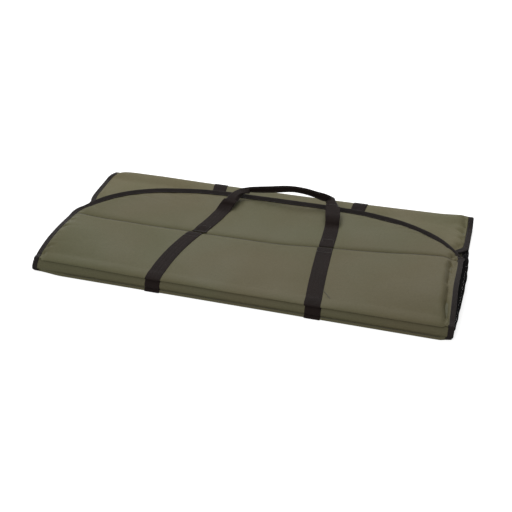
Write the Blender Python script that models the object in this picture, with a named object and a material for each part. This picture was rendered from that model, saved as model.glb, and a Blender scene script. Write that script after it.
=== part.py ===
"""A padded unhooking mat, folded for carrying.

The base pad lies on the floor. A short back wing folds forward over it, and a long front wing folds
back over both, with a sewn crease where its far panel bends. Each padded panel is an outer skin, a foam
core and a lining, pinched at its seams and clamped in binding tape at its free edges. Two straps run
round the pack and end in an arched grip. X runs along the mat, -Y is the front, +Z is up.
"""

import math

import bmesh
import bpy
from mathutils import Matrix, Vector

# Overall size, over the bindings and the straps
MAT_LENGTH = 1.050
MAT_DEPTH = 0.480

# Cloth, foam and tape
GAP = 0.0003
FABRIC = 0.0008
WEBBING = 0.0015
WEBBING_WIDTH = 0.040
TAPE = 0.0008
TAPE_WIDTH = 0.012
BASE_FOAM = 0.0060
BACK_FOAM = 0.0058
WING_FOAM = 0.0067
SPINE_FOAM = 0.0030
RIM_FOAM = 0.0005
FOAM_INSET = 0.016
SEAM_INSET = 0.004
PUFF_REACH = 0.050
FOLD_PUFF_REACH = 0.014
SPINE_FOAM_SET = 0.0022
BASE_RIM_SHARE = 0.55
EDGE_RISE = 0.0015

# Heights of the seams that close the spines
FRONT_SEAM_LOW = 0.0050
FRONT_SEAM_HIGH = 0.0270
BACK_SEAM_LOW = 0.0030
BACK_SEAM_HIGH = 0.0161
SEAM_RISE_REACH = 0.026

# The wings
WING_LENGTH = 1.036
CREASE_DEPTH = 0.233
FAR_REACH = 0.203
BACK_REACH = 0.212
END_LIFT = 0.014
END_LIFT_REACH = 0.290
END_LIFT_POWER = 1.3
END_LIFT_SKEW = 0.85

# Shape of the bound edges: how square the corner is along the mat and across it
FAR_LONG_EXPONENT = 3.6
FAR_CROSS_EXPONENT = 1.75
BACK_LONG_EXPONENT = 3.5
BACK_CROSS_EXPONENT = 10.0

# Straps: centre lines across the front seam, the crease and the far edge, and across the back fold
LEFT_STRAP_FRONT = -0.192
LEFT_STRAP_CREASE = -0.163
LEFT_STRAP_FAR = -0.105
RIGHT_STRAP_FRONT = 0.205
RIGHT_STRAP_CREASE = 0.186
RIGHT_STRAP_FAR = 0.152
LEFT_STRAP_BACK = -0.182
RIGHT_STRAP_BACK = 0.222
BACK_STRAP_DRIFT = 0.010
BACK_STRAP_SEWN = 0.100

# Carry grip: webbing folded in half lengthwise and stood on edge
GRIP_HEIGHT = 0.020
GRIP_THICK = 0.0032
GRIP_FOOT_HEIGHT = 0.050
GRIP_REACH = 0.034
GRIP_SET_BACK = 0.016
GRIP_PITCH = math.radians(62)
GRIP_EXPONENTS = (3.2, 2.0)
LEG_LIFT_START = 0.125
LEG_CLEARANCE = 0.0007
TUCKED_GRIP_INSET = 0.026
TUCKED_LEFT = -0.105
TUCKED_RIGHT = 0.145

# Net gussets at the two ends
NET_BAR = 0.0022
NET_THICK = 0.0009
NET_PITCH = 0.0118
NET_BULGE = 0.0085
NET_FRONT_SET = 0.012
NET_CREASE_SET = 0.010
NET_END_CLEARANCE = 0.0006
NET_ROWS = 3
NET_BAR_SHARE = 0.07

# Derived planes
FRONT = -MAT_DEPTH / 2
BACK = MAT_DEPTH / 2
SKIN_SET = WEBBING + GAP
PINCHED = 2 * FABRIC + GAP
LAYERS = 2 * FABRIC + 2 * GAP
SPINE_THICK = LAYERS + SPINE_FOAM
BINDING_SET = GAP + TAPE

BASE_LOW = SKIN_SET
BASE_TOP = BASE_LOW + LAYERS + BASE_FOAM
BACK_LOW = BASE_TOP + GAP
BACK_TOP = BACK_LOW + LAYERS + BACK_FOAM
TUCKED_LOW = BACK_TOP + GAP
TUCKED_THICK = 2 * WEBBING
WING_LOW = TUCKED_LOW + TUCKED_THICK + GAP

FRONT_AXIS_HIGH = FRONT_SEAM_HIGH + SKIN_SET
BACK_AXIS_HIGH = BACK_SEAM_HIGH + SKIN_SET
CREASE_Y = FRONT + CREASE_DEPTH
CREASE_AXIS_Z = WING_LOW + EDGE_RISE + PINCHED + SKIN_SET
BASE_HALF = MAT_LENGTH / 2 - BINDING_SET
WING_HALF = WING_LENGTH / 2 - BINDING_SET

CLOTH_COLOUR = (0.150, 0.142, 0.088)
LINING_COLOUR = (0.120, 0.115, 0.075)
FOAM_COLOUR = (0.62, 0.60, 0.52)
TAPE_COLOUR = (0.018, 0.017, 0.018)
WEBBING_COLOUR = (0.014, 0.013, 0.014)
NET_COLOUR = (0.010, 0.010, 0.011)


def clear_scene():
    for item in list(bpy.data.objects):
        bpy.data.objects.remove(item, do_unlink=True)


def finish_material(name, colour, roughness):
    material = bpy.data.materials.new(name)
    material.use_nodes = True
    shader = material.node_tree.nodes["Principled BSDF"]
    shader.inputs["Base Color"].default_value = (*colour, 1.0)
    shader.inputs["Roughness"].default_value = roughness
    shader.inputs["Metallic"].default_value = 0.0
    material.diffuse_color = (*colour, 1.0)
    return material


def cloth(name):
    return finish_material(name + "_nylon", CLOTH_COLOUR, 0.55)


def lining(name):
    return finish_material(name + "_lining", LINING_COLOUR, 0.40)


def foam(name):
    return finish_material(name + "_foam", FOAM_COLOUR, 0.95)


def tape(name):
    return finish_material(name + "_tape", TAPE_COLOUR, 0.70)


def webbing(name):
    return finish_material(name + "_webbing", WEBBING_COLOUR, 0.65)


def netting(name):
    return finish_material(name + "_netting", NET_COLOUR, 0.60)


def axis_empty(name, place, carrier=None):
    """An empty on a joint's axis, carried by the empty of the body before it."""
    empty = bpy.data.objects.new(name, None)
    bpy.context.scene.collection.objects.link(empty)
    empty.empty_display_size = WEBBING_WIDTH
    world = Vector(place)
    empty["world"] = world
    if carrier:
        empty.parent = carrier
        world = world - Vector(carrier["world"])
    empty.location = world
    return empty


def add_object(name, bm, finish, body):
    """Link a closed mesh, given in world places, under its body's empty."""
    bmesh.ops.recalc_face_normals(bm, faces=bm.faces[:])
    mesh = bpy.data.meshes.new(name)
    bm.to_mesh(mesh)
    bm.free()
    mesh.transform(Matrix.Translation(-Vector(body["world"])))
    mesh.shade_smooth()
    mesh.set_sharp_from_angle(angle=math.radians(40))
    mesh.materials.append(finish(name))
    item = bpy.data.objects.new(name, mesh)
    bpy.context.scene.collection.objects.link(item)
    item.parent = body
    return item


def layer(name, plan, low, high, place, finish, body):
    """A closed sheet between two height fields over a plan of rows of (u, v) places."""
    rows, columns = len(plan), len(plan[0])
    bm = bmesh.new()
    bmesh.ops.create_grid(bm, x_segments=columns - 1, y_segments=rows - 1, size=1)
    for vert in bm.verts:
        vert.co.x = round((vert.co.x + 1) / 2 * (columns - 1))
        vert.co.y = round((vert.co.y + 1) / 2 * (rows - 1))
    raised = bmesh.ops.extrude_face_region(bm, geom=bm.faces[:])["geom"]
    raised = {part for part in raised if isinstance(part, bmesh.types.BMVert)}
    for vert in bm.verts:
        row, column = round(vert.co.y), round(vert.co.x)
        u, v = plan[row][column]
        heights = high if vert in raised else low
        vert.co = place(u, v, heights(row, column))
    return add_object(name, bm, finish, body)


def sweep(name, stations, finish, body):
    """A closed bar through a list of section loops, extruded from one to the next."""
    bm = bmesh.new()
    end = bm.faces.new([bm.verts.new(corner) for corner in stations[0]])
    for index, section in enumerate(stations[1:]):
        start = end
        corners = {vert: place for vert, place in zip(start.verts, section)}
        made = bmesh.ops.extrude_face_region(bm, geom=[start])["geom"]
        end = next(part for part in made if isinstance(part, bmesh.types.BMFace))
        loops = {tuple(vert.co): place for vert, place in corners.items()}
        for vert in end.verts:
            vert.co = loops[tuple(vert.co)]
        if index:
            bmesh.ops.delete(bm, geom=[start], context="FACES_ONLY")
    return add_object(name, bm, finish, body)


def ease(share):
    """0 to 1 with a level start and end."""
    share = min(max(share, 0.0), 1.0)
    return share * share * (3 - 2 * share)


def swell(distance, reach):
    """0 at a seam, 1 once the pad has reached its full thickness."""
    return math.sin(min(max(distance / reach, 0.0), 1.0) * math.pi / 2)


def edge_rise(inset):
    """How far a wing's bound edge stands above its underside, so that the tape clears what is below."""
    return EDGE_RISE * (1 - ease((inset - FOAM_INSET) / PUFF_REACH))


END_SHARES = (0.30, 0.65, 1.0)
MIDDLE_COLUMNS = 7


def long_lines(half, reach):
    """Places along a panel from one end to the other, close together at the bound ends."""
    ends = [0.0, TAPE_WIDTH, FOAM_INSET] + [FOAM_INSET + share * reach for share in END_SHARES]
    left = [-half + distance for distance in ends]
    middle = half - ends[-1]
    steps = [-middle + 2 * middle * (k + 1) / (MIDDLE_COLUMNS + 1) for k in range(MIDDLE_COLUMNS)]
    return left + steps + [-place for place in reversed(left)]


CROSS_SHARES = (0.34, 0.67, 1.0)


def cross_lines(depth, first_reach, last_reach, middles):
    """Places across a panel from one seam to the other, close together at the seams."""
    first = [0.0, SEAM_INSET] + [SEAM_INSET + share * first_reach for share in CROSS_SHARES]
    last = [0.0, SEAM_INSET] + [SEAM_INSET + share * last_reach for share in CROSS_SHARES]
    span = depth - last[-1] - first[-1]
    steps = [first[-1] + span * (k + 1) / (middles + 1) for k in range(middles)]
    return first + steps + [depth - place for place in reversed(last)]


def box_plan(columns, rows):
    return [[(u, v) for u in columns] for v in rows]


class Pad:
    """A padded panel: a plan, the foam's thickness on it, and the level that it lies on."""

    def __init__(self, plan, foam_rows, foam_columns, thickness, level, place, skin_up=True):
        self.plan = plan
        self.foam_rows = foam_rows
        self.foam_columns = foam_columns
        self.thickness = thickness
        self.level = level
        self.place = place
        self.skin_up = skin_up

    def padded(self, row, column):
        first, last = self.foam_rows
        left, right = self.foam_columns
        return first <= row <= last and left <= column <= right

    def fill(self, row, column):
        """What lies between the lower sheet and the upper one."""
        if not self.padded(row, column):
            return GAP
        return self.thickness(*self.plan[row][column]) + 2 * GAP

    def base(self, row, column):
        return self.level(*self.plan[row][column])

    def build(self, name, body):
        """The three layers, from the one that lies lowest in the panel's own sense."""
        lower, upper = ("lining", "skin") if self.skin_up else ("skin", "lining")
        finishes = {"lining": lining, "skin": cloth}
        base, fill = self.base, self.fill
        layer(
            f"{name}_{lower}", self.plan, base, lambda i, j: base(i, j) + FABRIC,
            self.place, finishes[lower], body,
        )
        layer(
            f"{name}_{upper}", self.plan,
            lambda i, j: base(i, j) + FABRIC + fill(i, j),
            lambda i, j: base(i, j) + 2 * FABRIC + fill(i, j),
            self.place, finishes[upper], body,
        )
        first, last = self.foam_rows
        left, right = self.foam_columns
        core = [line[left:right + 1] for line in self.plan[first:last + 1]]
        layer(
            f"{name}_foam", core,
            lambda i, j: base(i + first, j + left) + FABRIC + GAP,
            lambda i, j: base(i + first, j + left) + FABRIC + fill(i + first, j + left) - GAP,
            self.place, foam, body,
        )


def tape_section(outer, inner, normal, clearance):
    """The U of a folded tape round a pinched edge: outer and inner are on the edge's middle plane."""
    inwards = (inner - outer).normalized()
    half_open = PINCHED / 2 + clearance
    half_tape = half_open + TAPE
    corners = (
        (inner, half_tape),
        (outer - inwards * (clearance + TAPE), half_tape),
        (outer - inwards * (clearance + TAPE), -half_tape),
        (inner, -half_tape),
        (inner, -half_open),
        (outer - inwards * clearance, -half_open),
        (outer - inwards * clearance, half_open),
        (inner, half_open),
    )
    return [place + normal * offset for place, offset in corners]


def bind(name, outers, inners, normal, body):
    stations = [tape_section(outer, inner, normal, GAP) for outer, inner in zip(outers, inners)]
    return sweep(name, stations, tape, body)


def strap(name, centres, widths, normals, body, thick=WEBBING, finish=webbing):
    """Flat webbing through the middles of its lower face, with its width and its face's normal given."""
    stations = []
    for centre, width, normal in zip(centres, widths, normals):
        side = Vector(width) / 2
        up = Vector(normal).normalized() * thick
        stations.append([centre - side, centre + side, centre + side + up, centre - side + up])
    return sweep(name, stations, finish, body)


# Places of the panels' own (u, v, w): along the mat, away from the seam, and out of the panel
def on_base(u, v, w):
    return Vector((u, v, w))


def on_front_spine(u, v, w):
    return Vector((u, FRONT + SKIN_SET + w, v))


def on_back_spine(u, v, w):
    return Vector((u, BACK - SKIN_SET - w, v))


def on_near(u, v, w):
    return Vector((u, FRONT + SKIN_SET + v, w))


def on_far(u, v, w):
    return Vector((u, CREASE_Y + GAP / 2 + v, w))


def on_back_wing(u, v, w):
    return Vector((u, BACK - SKIN_SET - v, w))


# Base pad
BASE_INSET = SKIN_SET + SPINE_THICK + GAP
BASE_COLUMNS = long_lines(BASE_HALF, PUFF_REACH)
BASE_DEPTH = MAT_DEPTH - 2 * BASE_INSET
BASE_ROWS = [
    FRONT + BASE_INSET + v for v in cross_lines(BASE_DEPTH, FOLD_PUFF_REACH, FOLD_PUFF_REACH, 2)
]


def base_thickness(u, v):
    to_end = BASE_HALF - FOAM_INSET - abs(u)
    to_seam = BASE_DEPTH / 2 - abs(v)
    round_off = BASE_RIM_SHARE + (1 - BASE_RIM_SHARE) * swell(to_seam, FOLD_PUFF_REACH)
    return RIM_FOAM + (BASE_FOAM - RIM_FOAM) * swell(to_end, PUFF_REACH) * round_off


def make_base(body):
    last_row, last_column = len(BASE_ROWS) - 1, len(BASE_COLUMNS) - 1
    plan = box_plan(BASE_COLUMNS, BASE_ROWS)

    def level(u, v):
        return BASE_LOW

    def lining_low(row, column):
        inside = 2 <= column <= last_column - 2
        if not inside:
            return BASE_LOW + FABRIC + GAP
        return BASE_LOW + FABRIC + 2 * GAP + base_thickness(*plan[row][column])

    layer(
        "base_lining", plan, lining_low, lambda i, j: lining_low(i, j) + FABRIC,
        on_base, lining, body,
    )
    core = [line[2:last_column - 1] for line in plan]
    layer(
        "base_foam", core, lambda i, j: BASE_LOW + FABRIC + GAP,
        lambda i, j: BASE_LOW + FABRIC + GAP + base_thickness(*core[i][j]),
        on_base, foam, body,
    )

    front, back = FRONT + SKIN_SET, BACK - SKIN_SET
    front_lip, back_lip = FRONT_SEAM_LOW - GAP / 2, BACK_SEAM_LOW - GAP / 2
    tray = (
        (front, front_lip), (front, BASE_LOW), (back, BASE_LOW), (back, back_lip),
        (back - FABRIC, back_lip), (back - FABRIC, BASE_LOW + FABRIC),
        (front + FABRIC, BASE_LOW + FABRIC), (front + FABRIC, front_lip),
    )
    ends = (-BASE_HALF, BASE_HALF)
    sweep("base_outer_skin", [[Vector((x, y, z)) for y, z in tray] for x in ends], cloth, body)

    middle = BASE_LOW + PINCHED / 2
    for side, sign in (("left", -1), ("right", 1)):
        rows = (BASE_ROWS[0], BASE_ROWS[last_row])
        outers = [Vector((sign * BASE_HALF, y, middle)) for y in rows]
        inners = [Vector((sign * (BASE_HALF - TAPE_WIDTH), y, middle)) for y in rows]
        bind(f"base_binding_{side}", outers, inners, Vector((0, 0, 1)), body)

    for side, at_front, at_back in (
        ("left", LEFT_STRAP_FRONT, LEFT_STRAP_BACK),
        ("right", RIGHT_STRAP_FRONT, RIGHT_STRAP_BACK),
    ):
        make_under_strap(f"under_strap_{side}", at_front, at_back, body)


def make_under_strap(name, at_front, at_back, body):
    """Webbing under the base, turned up at the front and the back as far as the seams."""
    outline = (
        (FRONT, FRONT_SEAM_LOW - GAP / 2), (FRONT, 0.0), (BACK, 0.0), (BACK, BACK_SEAM_LOW - GAP / 2),
        (BACK - WEBBING, BACK_SEAM_LOW - GAP / 2), (BACK - WEBBING, WEBBING),
        (FRONT + WEBBING, WEBBING), (FRONT + WEBBING, FRONT_SEAM_LOW - GAP / 2),
    )
    stations = []
    for edge in (-WEBBING_WIDTH / 2, WEBBING_WIDTH / 2):
        stations.append([
            Vector((at_front + (at_back - at_front) * (y - FRONT) / MAT_DEPTH + edge, y, z))
            for y, z in outline
        ])
    sweep(name, stations, webbing, body)


# Spines
SPINE_COLUMNS = long_lines(WING_HALF, FOLD_PUFF_REACH)


def make_spine(name, low, high, straps, place, body):
    """A narrow upright strip between two seams, with bound ends and a strap piece over each strap line."""
    rows = [low, low + SPINE_FOAM_SET, (low + high) / 2, high - SPINE_FOAM_SET, high]
    plan = box_plan(SPINE_COLUMNS, rows)

    def thickness(u, v):
        to_end = WING_HALF - FOAM_INSET - abs(u)
        return RIM_FOAM + (SPINE_FOAM - RIM_FOAM) * swell(to_end, FOLD_PUFF_REACH)

    last = len(SPINE_COLUMNS) - 3
    pad = Pad(plan, (1, 3), (2, last), thickness, lambda u, v: 0.0, place, skin_up=False)
    pad.build(name, body)

    outwards = place(0, 0, 1) - place(0, 0, 0)
    for side, sign in (("left", -1), ("right", 1)):
        outers = [place(sign * WING_HALF, v, PINCHED / 2) for v in (low, high)]
        inners = [place(sign * (WING_HALF - TAPE_WIDTH), v, PINCHED / 2) for v in (low, high)]
        bind(f"{name}_binding_{side}", outers, inners, outwards, body)
    strap_high = high + PINCHED + GAP
    for side, centre in zip(("left", "right"), straps):
        strap(
            f"{name}_strap_{side}",
            [place(centre, v, -SKIN_SET) for v in (low, strap_high)],
            [Vector((WEBBING_WIDTH, 0, 0))] * 2, [outwards] * 2, body,
        )


# Front wing, near panel
NEAR_DEPTH = CREASE_DEPTH - SKIN_SET - GAP / 2
NEAR_COLUMNS = long_lines(WING_HALF, PUFF_REACH)
NEAR_ROWS = cross_lines(NEAR_DEPTH, PUFF_REACH, PUFF_REACH, 2)


def end_lift(u, v):
    """How far the bunched net pushes the wing's ends up between the front seam and the crease."""
    along = ease((abs(u) - (WING_HALF - END_LIFT_REACH)) / END_LIFT_REACH)
    across = math.sin(math.pi * min(max(v / NEAR_DEPTH, 0.0), 1.0) ** END_LIFT_SKEW)
    return END_LIFT * along * max(across, 0.0) ** END_LIFT_POWER


def near_level(u, v):
    rise = FRONT_SEAM_HIGH - PINCHED - WING_LOW
    seam = rise * (1 - ease(v / SEAM_RISE_REACH))
    return WING_LOW + max(seam, edge_rise(WING_HALF - abs(u))) + end_lift(u, v)


def near_thickness(u, v):
    to_end = WING_HALF - FOAM_INSET - abs(u)
    to_seam = min(v, NEAR_DEPTH - v)
    return RIM_FOAM + (WING_FOAM - RIM_FOAM) * swell(to_end, PUFF_REACH) * swell(to_seam, PUFF_REACH)


def near_top(row):
    """Height of the skin over the middle of the panel, at one of its rows."""
    v = NEAR_ROWS[row]
    inside = 0 < row < len(NEAR_ROWS) - 1
    return near_level(0.0, v) + PINCHED + (GAP + near_thickness(0.0, v) if inside else 0.0)


def make_near_wing(body):
    plan = box_plan(NEAR_COLUMNS, NEAR_ROWS)
    rows, columns = (1, len(NEAR_ROWS) - 2), (2, len(NEAR_COLUMNS) - 3)
    Pad(plan, rows, columns, near_thickness, near_level, on_near).build("near_wing", body)

    tape_start = SPINE_THICK
    for side, sign in (("left", -1), ("right", 1)):
        runs = [tape_start] + [v for v in NEAR_ROWS if v > tape_start]
        outers, inners = [], []
        for v in runs:
            outer, inner = sign * WING_HALF, sign * (WING_HALF - TAPE_WIDTH)
            middle = near_level(outer, v) + PINCHED / 2
            outers.append(on_near(outer, v, middle))
            inners.append(on_near(inner, v, middle))
        bind(f"near_wing_binding_{side}", outers, inners, Vector((0, 0, 1)), body)

    for side, at_front, at_crease in (
        ("left", LEFT_STRAP_FRONT, LEFT_STRAP_CREASE),
        ("right", RIGHT_STRAP_FRONT, RIGHT_STRAP_CREASE),
    ):
        centres = [Vector((at_front, FRONT, near_top(0) + GAP))]
        for row, v in enumerate(NEAR_ROWS):
            x = at_front + (at_crease - at_front) * v / NEAR_DEPTH
            centres.append(on_near(x, v, near_top(row) + GAP))
        count = len(centres)
        strap(
            f"near_wing_strap_{side}", centres, [Vector((WEBBING_WIDTH, 0, 0))] * count,
            [Vector((0, 0, 1))] * count, body,
        )


# Aprons: panels that end in a bound curve. Rings step in from the edge, spokes go round it
APRON_RING_SHARES = (0.26, 0.46, 0.68, 0.86)


class Apron:
    """A half outline |x/a|^n + |y/b|^m = 1 standing on a seam, with its rings and spokes."""

    def __init__(self, half, reach, exponents, side_places=(), turn_shares=()):
        self.half = half
        self.reach = reach
        self.long_exponent, self.cross_exponent = exponents
        body = reach - FOAM_INSET - SEAM_INSET
        self.rings = [0.0, TAPE_WIDTH, FOAM_INSET]
        self.rings += [FOAM_INSET + share * body for share in APRON_RING_SHARES]
        self.rings += [reach - SEAM_INSET, reach]
        quarter = [0.0] + [self.turn_at(place) for place in side_places]
        quarter += [share * math.pi / 2 for share in turn_shares]
        self.spokes = quarter + [math.pi / 2] + [math.pi - turn for turn in reversed(quarter)]

    def turn_at(self, place):
        """The turn at which the edge stands this far from the seam."""
        return math.asin((place / self.reach) ** (self.cross_exponent / 2))

    def point(self, inset, turn):
        along = math.cos(turn)
        across = max(math.sin(turn), 0.0)
        x = (self.half - inset) * math.copysign(abs(along) ** (2 / self.long_exponent), along)
        y = (self.reach - inset) * across ** (2 / self.cross_exponent)
        if turn in (self.spokes[0], self.spokes[-1]):
            y = 0.0
        return (x, y)

    def plan(self):
        return [[self.point(inset, turn) for turn in self.spokes] for inset in self.rings]

    def foam_rows(self):
        return (2, len(self.rings) - 2)

    def foam_columns(self):
        return (1, len(self.spokes) - 2)

    def inset_of(self, x, y):
        """How far inside the edge a point is, found by halving."""
        near, far = 0.0, self.reach
        for _ in range(40):
            inset = (near + far) / 2
            reached = abs(x / (self.half - inset)) ** self.long_exponent
            reached += abs(y / max(self.reach - inset, GAP)) ** self.cross_exponent
            if reached < 1:
                near = inset
            else:
                far = inset
        return near


def apron_binding(name, apron, level, place, body, start=0.0):
    """Tape round an apron's edge, from where it leaves the seam on one side to the other."""
    outers, inners = [], []
    for turn in apron.spokes:
        edge_x, edge_y = apron.point(0.0, turn)
        if edge_y < start - GAP:
            continue
        middle = level(edge_x, edge_y) + PINCHED / 2
        outers.append(place(edge_x, edge_y, middle))
        inners.append(place(*apron.point(TAPE_WIDTH, turn), middle))
    return bind(name, outers, inners, Vector((0, 0, 1)), body)


# Front wing, far panel
FAR_EDGE = FAR_REACH - BINDING_SET
FAR_TURN_SHARES = (0.06, 0.14, 0.24, 0.36, 0.50, 0.66, 0.83)
FAR_APRON = Apron(
    WING_HALF, FAR_EDGE, (FAR_LONG_EXPONENT, FAR_CROSS_EXPONENT), turn_shares=FAR_TURN_SHARES,
)


def far_level(u, v):
    return WING_LOW + edge_rise(FAR_APRON.inset_of(u, v))


def far_thickness(u, v):
    to_edge = FAR_APRON.inset_of(u, v) - FOAM_INSET
    return RIM_FOAM + (WING_FOAM - RIM_FOAM) * swell(to_edge, PUFF_REACH) * swell(v, PUFF_REACH)


def far_top(v):
    """Height of the skin over the middle of the far panel."""
    if v <= 0:
        return WING_LOW + PINCHED
    return WING_LOW + PINCHED + GAP + far_thickness(0.0, v)


def make_far_wing(body):
    apron = FAR_APRON
    pad = Pad(
        apron.plan(), apron.foam_rows(), apron.foam_columns(), far_thickness, far_level, on_far,
    )
    pad.build("far_wing", body)
    apron_binding("far_wing_binding", apron, far_level, on_far, body)


# Front carry handle. The legs lie on the far panel and rise to the grip, which is webbing folded in
# half lengthwise and stood on edge in a leaning plane
GRIP_UP = Vector((0, math.cos(GRIP_PITCH), math.sin(GRIP_PITCH)))
GRIP_FACE = Vector((0, -math.sin(GRIP_PITCH), math.cos(GRIP_PITCH)))
GRIP_FOOT_V = FAR_REACH - GRIP_SET_BACK
GRIP_MIDDLE_X = (LEFT_STRAP_FAR + RIGHT_STRAP_FAR) / 2
GRIP_HALF = (RIGHT_STRAP_FAR - LEFT_STRAP_FAR + GRIP_HEIGHT) / 2
GRIP_TURN_SHARES = (0.0, 0.05, 0.11, 0.19, 0.30, 0.43, 0.58, 0.78)
LEG_RISE_SHARES = (0.25, 0.45, 0.63, 0.80, 0.92, 1.0)
LEG_RISE_POWER = 2.2
LEG_NARROW_SHARE = 0.80


def leg_places():
    """Distance from the crease, height and share of the rise for each station of a leg."""
    places = [(GAP / 2, far_top(0.0) + GAP, 0.0)]
    for inset in reversed(FAR_APRON.rings[:-1]):
        v = FAR_EDGE - inset
        if v < LEG_LIFT_START:
            places.append((v, far_top(v) + LEG_CLEARANCE, 0.0))
    low = far_top(LEG_LIFT_START) + LEG_CLEARANCE
    places.append((LEG_LIFT_START, low, 0.0))
    for share in LEG_RISE_SHARES:
        v = LEG_LIFT_START + (GRIP_FOOT_V - LEG_LIFT_START) * share
        places.append((v, low + (GRIP_FOOT_HEIGHT - low) * share ** LEG_RISE_POWER, share))
    return places


def make_leg(name, at_crease, at_grip, body):
    places = leg_places()
    centres, widths, normals = [], [], []
    for index, (v, z, share) in enumerate(places):
        x = at_crease + (at_grip - at_crease) * v / GRIP_FOOT_V
        centres.append(on_far(x, v, z))
        narrowing = ease((share - LEG_NARROW_SHARE) / (1 - LEG_NARROW_SHARE))
        widths.append(Vector((WEBBING_WIDTH + (GRIP_HEIGHT - WEBBING_WIDTH) * narrowing, 0, 0)))
        before = places[max(index - 1, 0)]
        after = places[min(index + 1, len(places) - 1)]
        slope = math.atan2(after[1] - before[1], after[0] - before[0]) if index else 0.0
        normals.append(Vector((0, -math.sin(slope), math.cos(slope))))
    normals[-1] = GRIP_FACE
    strap(name, centres, widths, normals, body)


def make_handle(body):
    make_leg("handle_leg_left", LEFT_STRAP_CREASE, LEFT_STRAP_FAR, body)
    make_leg("handle_leg_right", RIGHT_STRAP_CREASE, RIGHT_STRAP_FAR, body)

    outline = Apron(GRIP_HALF, GRIP_REACH, GRIP_EXPONENTS, turn_shares=GRIP_TURN_SHARES[1:])
    foot = on_far(GRIP_MIDDLE_X, GRIP_FOOT_V, GRIP_FOOT_HEIGHT) + GRIP_UP * GAP
    foot += GRIP_FACE * (WEBBING - GRIP_THICK) / 2
    stations = []
    for turn in outline.spokes:
        edges = []
        for inset in (0.0, GRIP_HEIGHT):
            x, rise = outline.point(inset, turn)
            edges.append(foot + Vector((x, 0, 0)) + GRIP_UP * rise)
        outer, inner = edges
        across = GRIP_FACE * GRIP_THICK
        stations.append([outer, inner, inner + across, outer + across])
    sweep("handle_grip", stations, webbing, body)


# Back wing, with the second handle laid flat on it under the front wing
BACK_SIDE_SHARES = (0.28, 0.55, 0.76, 0.87, 0.94, 0.98)
BACK_TURN_SHARES = (0.85,)
BACK_APRON = Apron(
    BASE_HALF, BACK_REACH, (BACK_LONG_EXPONENT, BACK_CROSS_EXPONENT),
    side_places=[SPINE_THICK, SEAM_RISE_REACH] + [share * BACK_REACH for share in BACK_SIDE_SHARES],
    turn_shares=BACK_TURN_SHARES,
)


def back_level(u, v):
    rise = BACK_SEAM_HIGH - PINCHED - BACK_LOW
    seam = rise * (1 - ease(v / SEAM_RISE_REACH))
    return BACK_LOW + max(seam, edge_rise(BACK_APRON.inset_of(u, v)))


def back_thickness(u, v):
    to_edge = BACK_APRON.inset_of(u, v) - FOAM_INSET
    return RIM_FOAM + (BACK_FOAM - RIM_FOAM) * swell(to_edge, PUFF_REACH) * swell(v, PUFF_REACH)


def back_top(v):
    """Height of the skin over the middle of the back wing."""
    return back_level(0.0, v) + PINCHED + (GAP + back_thickness(0.0, v) if v > 0 else 0.0)


def make_back_wing(body):
    apron = BACK_APRON
    pad = Pad(
        apron.plan(), apron.foam_rows(), apron.foam_columns(), back_thickness, back_level, on_back_wing,
    )
    pad.build("back_wing", body)
    apron_binding("back_wing_binding", apron, back_level, on_back_wing, body, start=SPINE_THICK)

    flat = Vector((WEBBING_WIDTH, 0, 0))
    up = Vector((0, 0, 1))
    leg_end = BACK_REACH - TUCKED_GRIP_INSET - GRIP_HEIGHT
    for side, at_back, drift, at_grip in (
        ("left", LEFT_STRAP_BACK, BACK_STRAP_DRIFT, TUCKED_LEFT),
        ("right", RIGHT_STRAP_BACK, -BACK_STRAP_DRIFT, TUCKED_RIGHT),
    ):
        centres = [on_back_wing(at_back, -SKIN_SET, back_top(0.0) + GAP)]
        rows = [apron.reach - inset for inset in reversed(apron.rings)]
        for v in [row for row in rows if row < BACK_STRAP_SEWN] + [BACK_STRAP_SEWN]:
            x = at_back + drift * v / BACK_STRAP_SEWN
            centres.append(on_back_wing(x, v, back_top(v) + GAP))
        count = len(centres)
        strap(f"back_wing_strap_{side}", centres, [flat] * count, [up] * count, body)
        leg = [
            on_back_wing(at_back + drift, BACK_STRAP_SEWN + GAP, TUCKED_LOW),
            on_back_wing(at_grip, leg_end - GAP, TUCKED_LOW),
        ]
        strap(f"tucked_leg_{side}", leg, [flat] * 2, [up] * 2, body)

    half_leg = WEBBING_WIDTH / 2
    grip = [
        on_back_wing(x, leg_end + GRIP_HEIGHT / 2, TUCKED_LOW)
        for x in (TUCKED_LEFT - half_leg, TUCKED_RIGHT + half_leg)
    ]
    strap("tucked_grip", grip, [Vector((0, GRIP_HEIGHT, 0))] * 2, [up] * 2, body, thick=TUCKED_THICK)


# Net gussets: a bowed net from the base's end binding up to the end of the near panel
NET_LOW = BASE_LOW + PINCHED + BINDING_SET + GAP
NET_FOOT_X = WING_LENGTH / 2 + NET_END_CLEARANCE


def net_lines(first, last, gaps, bar):
    """Both edges of every bar between two ends."""
    pitch = (last - first - bar) / gaps
    lines = []
    for index in range(gaps + 1):
        lines += [first + index * pitch, first + index * pitch + bar]
    return lines


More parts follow.
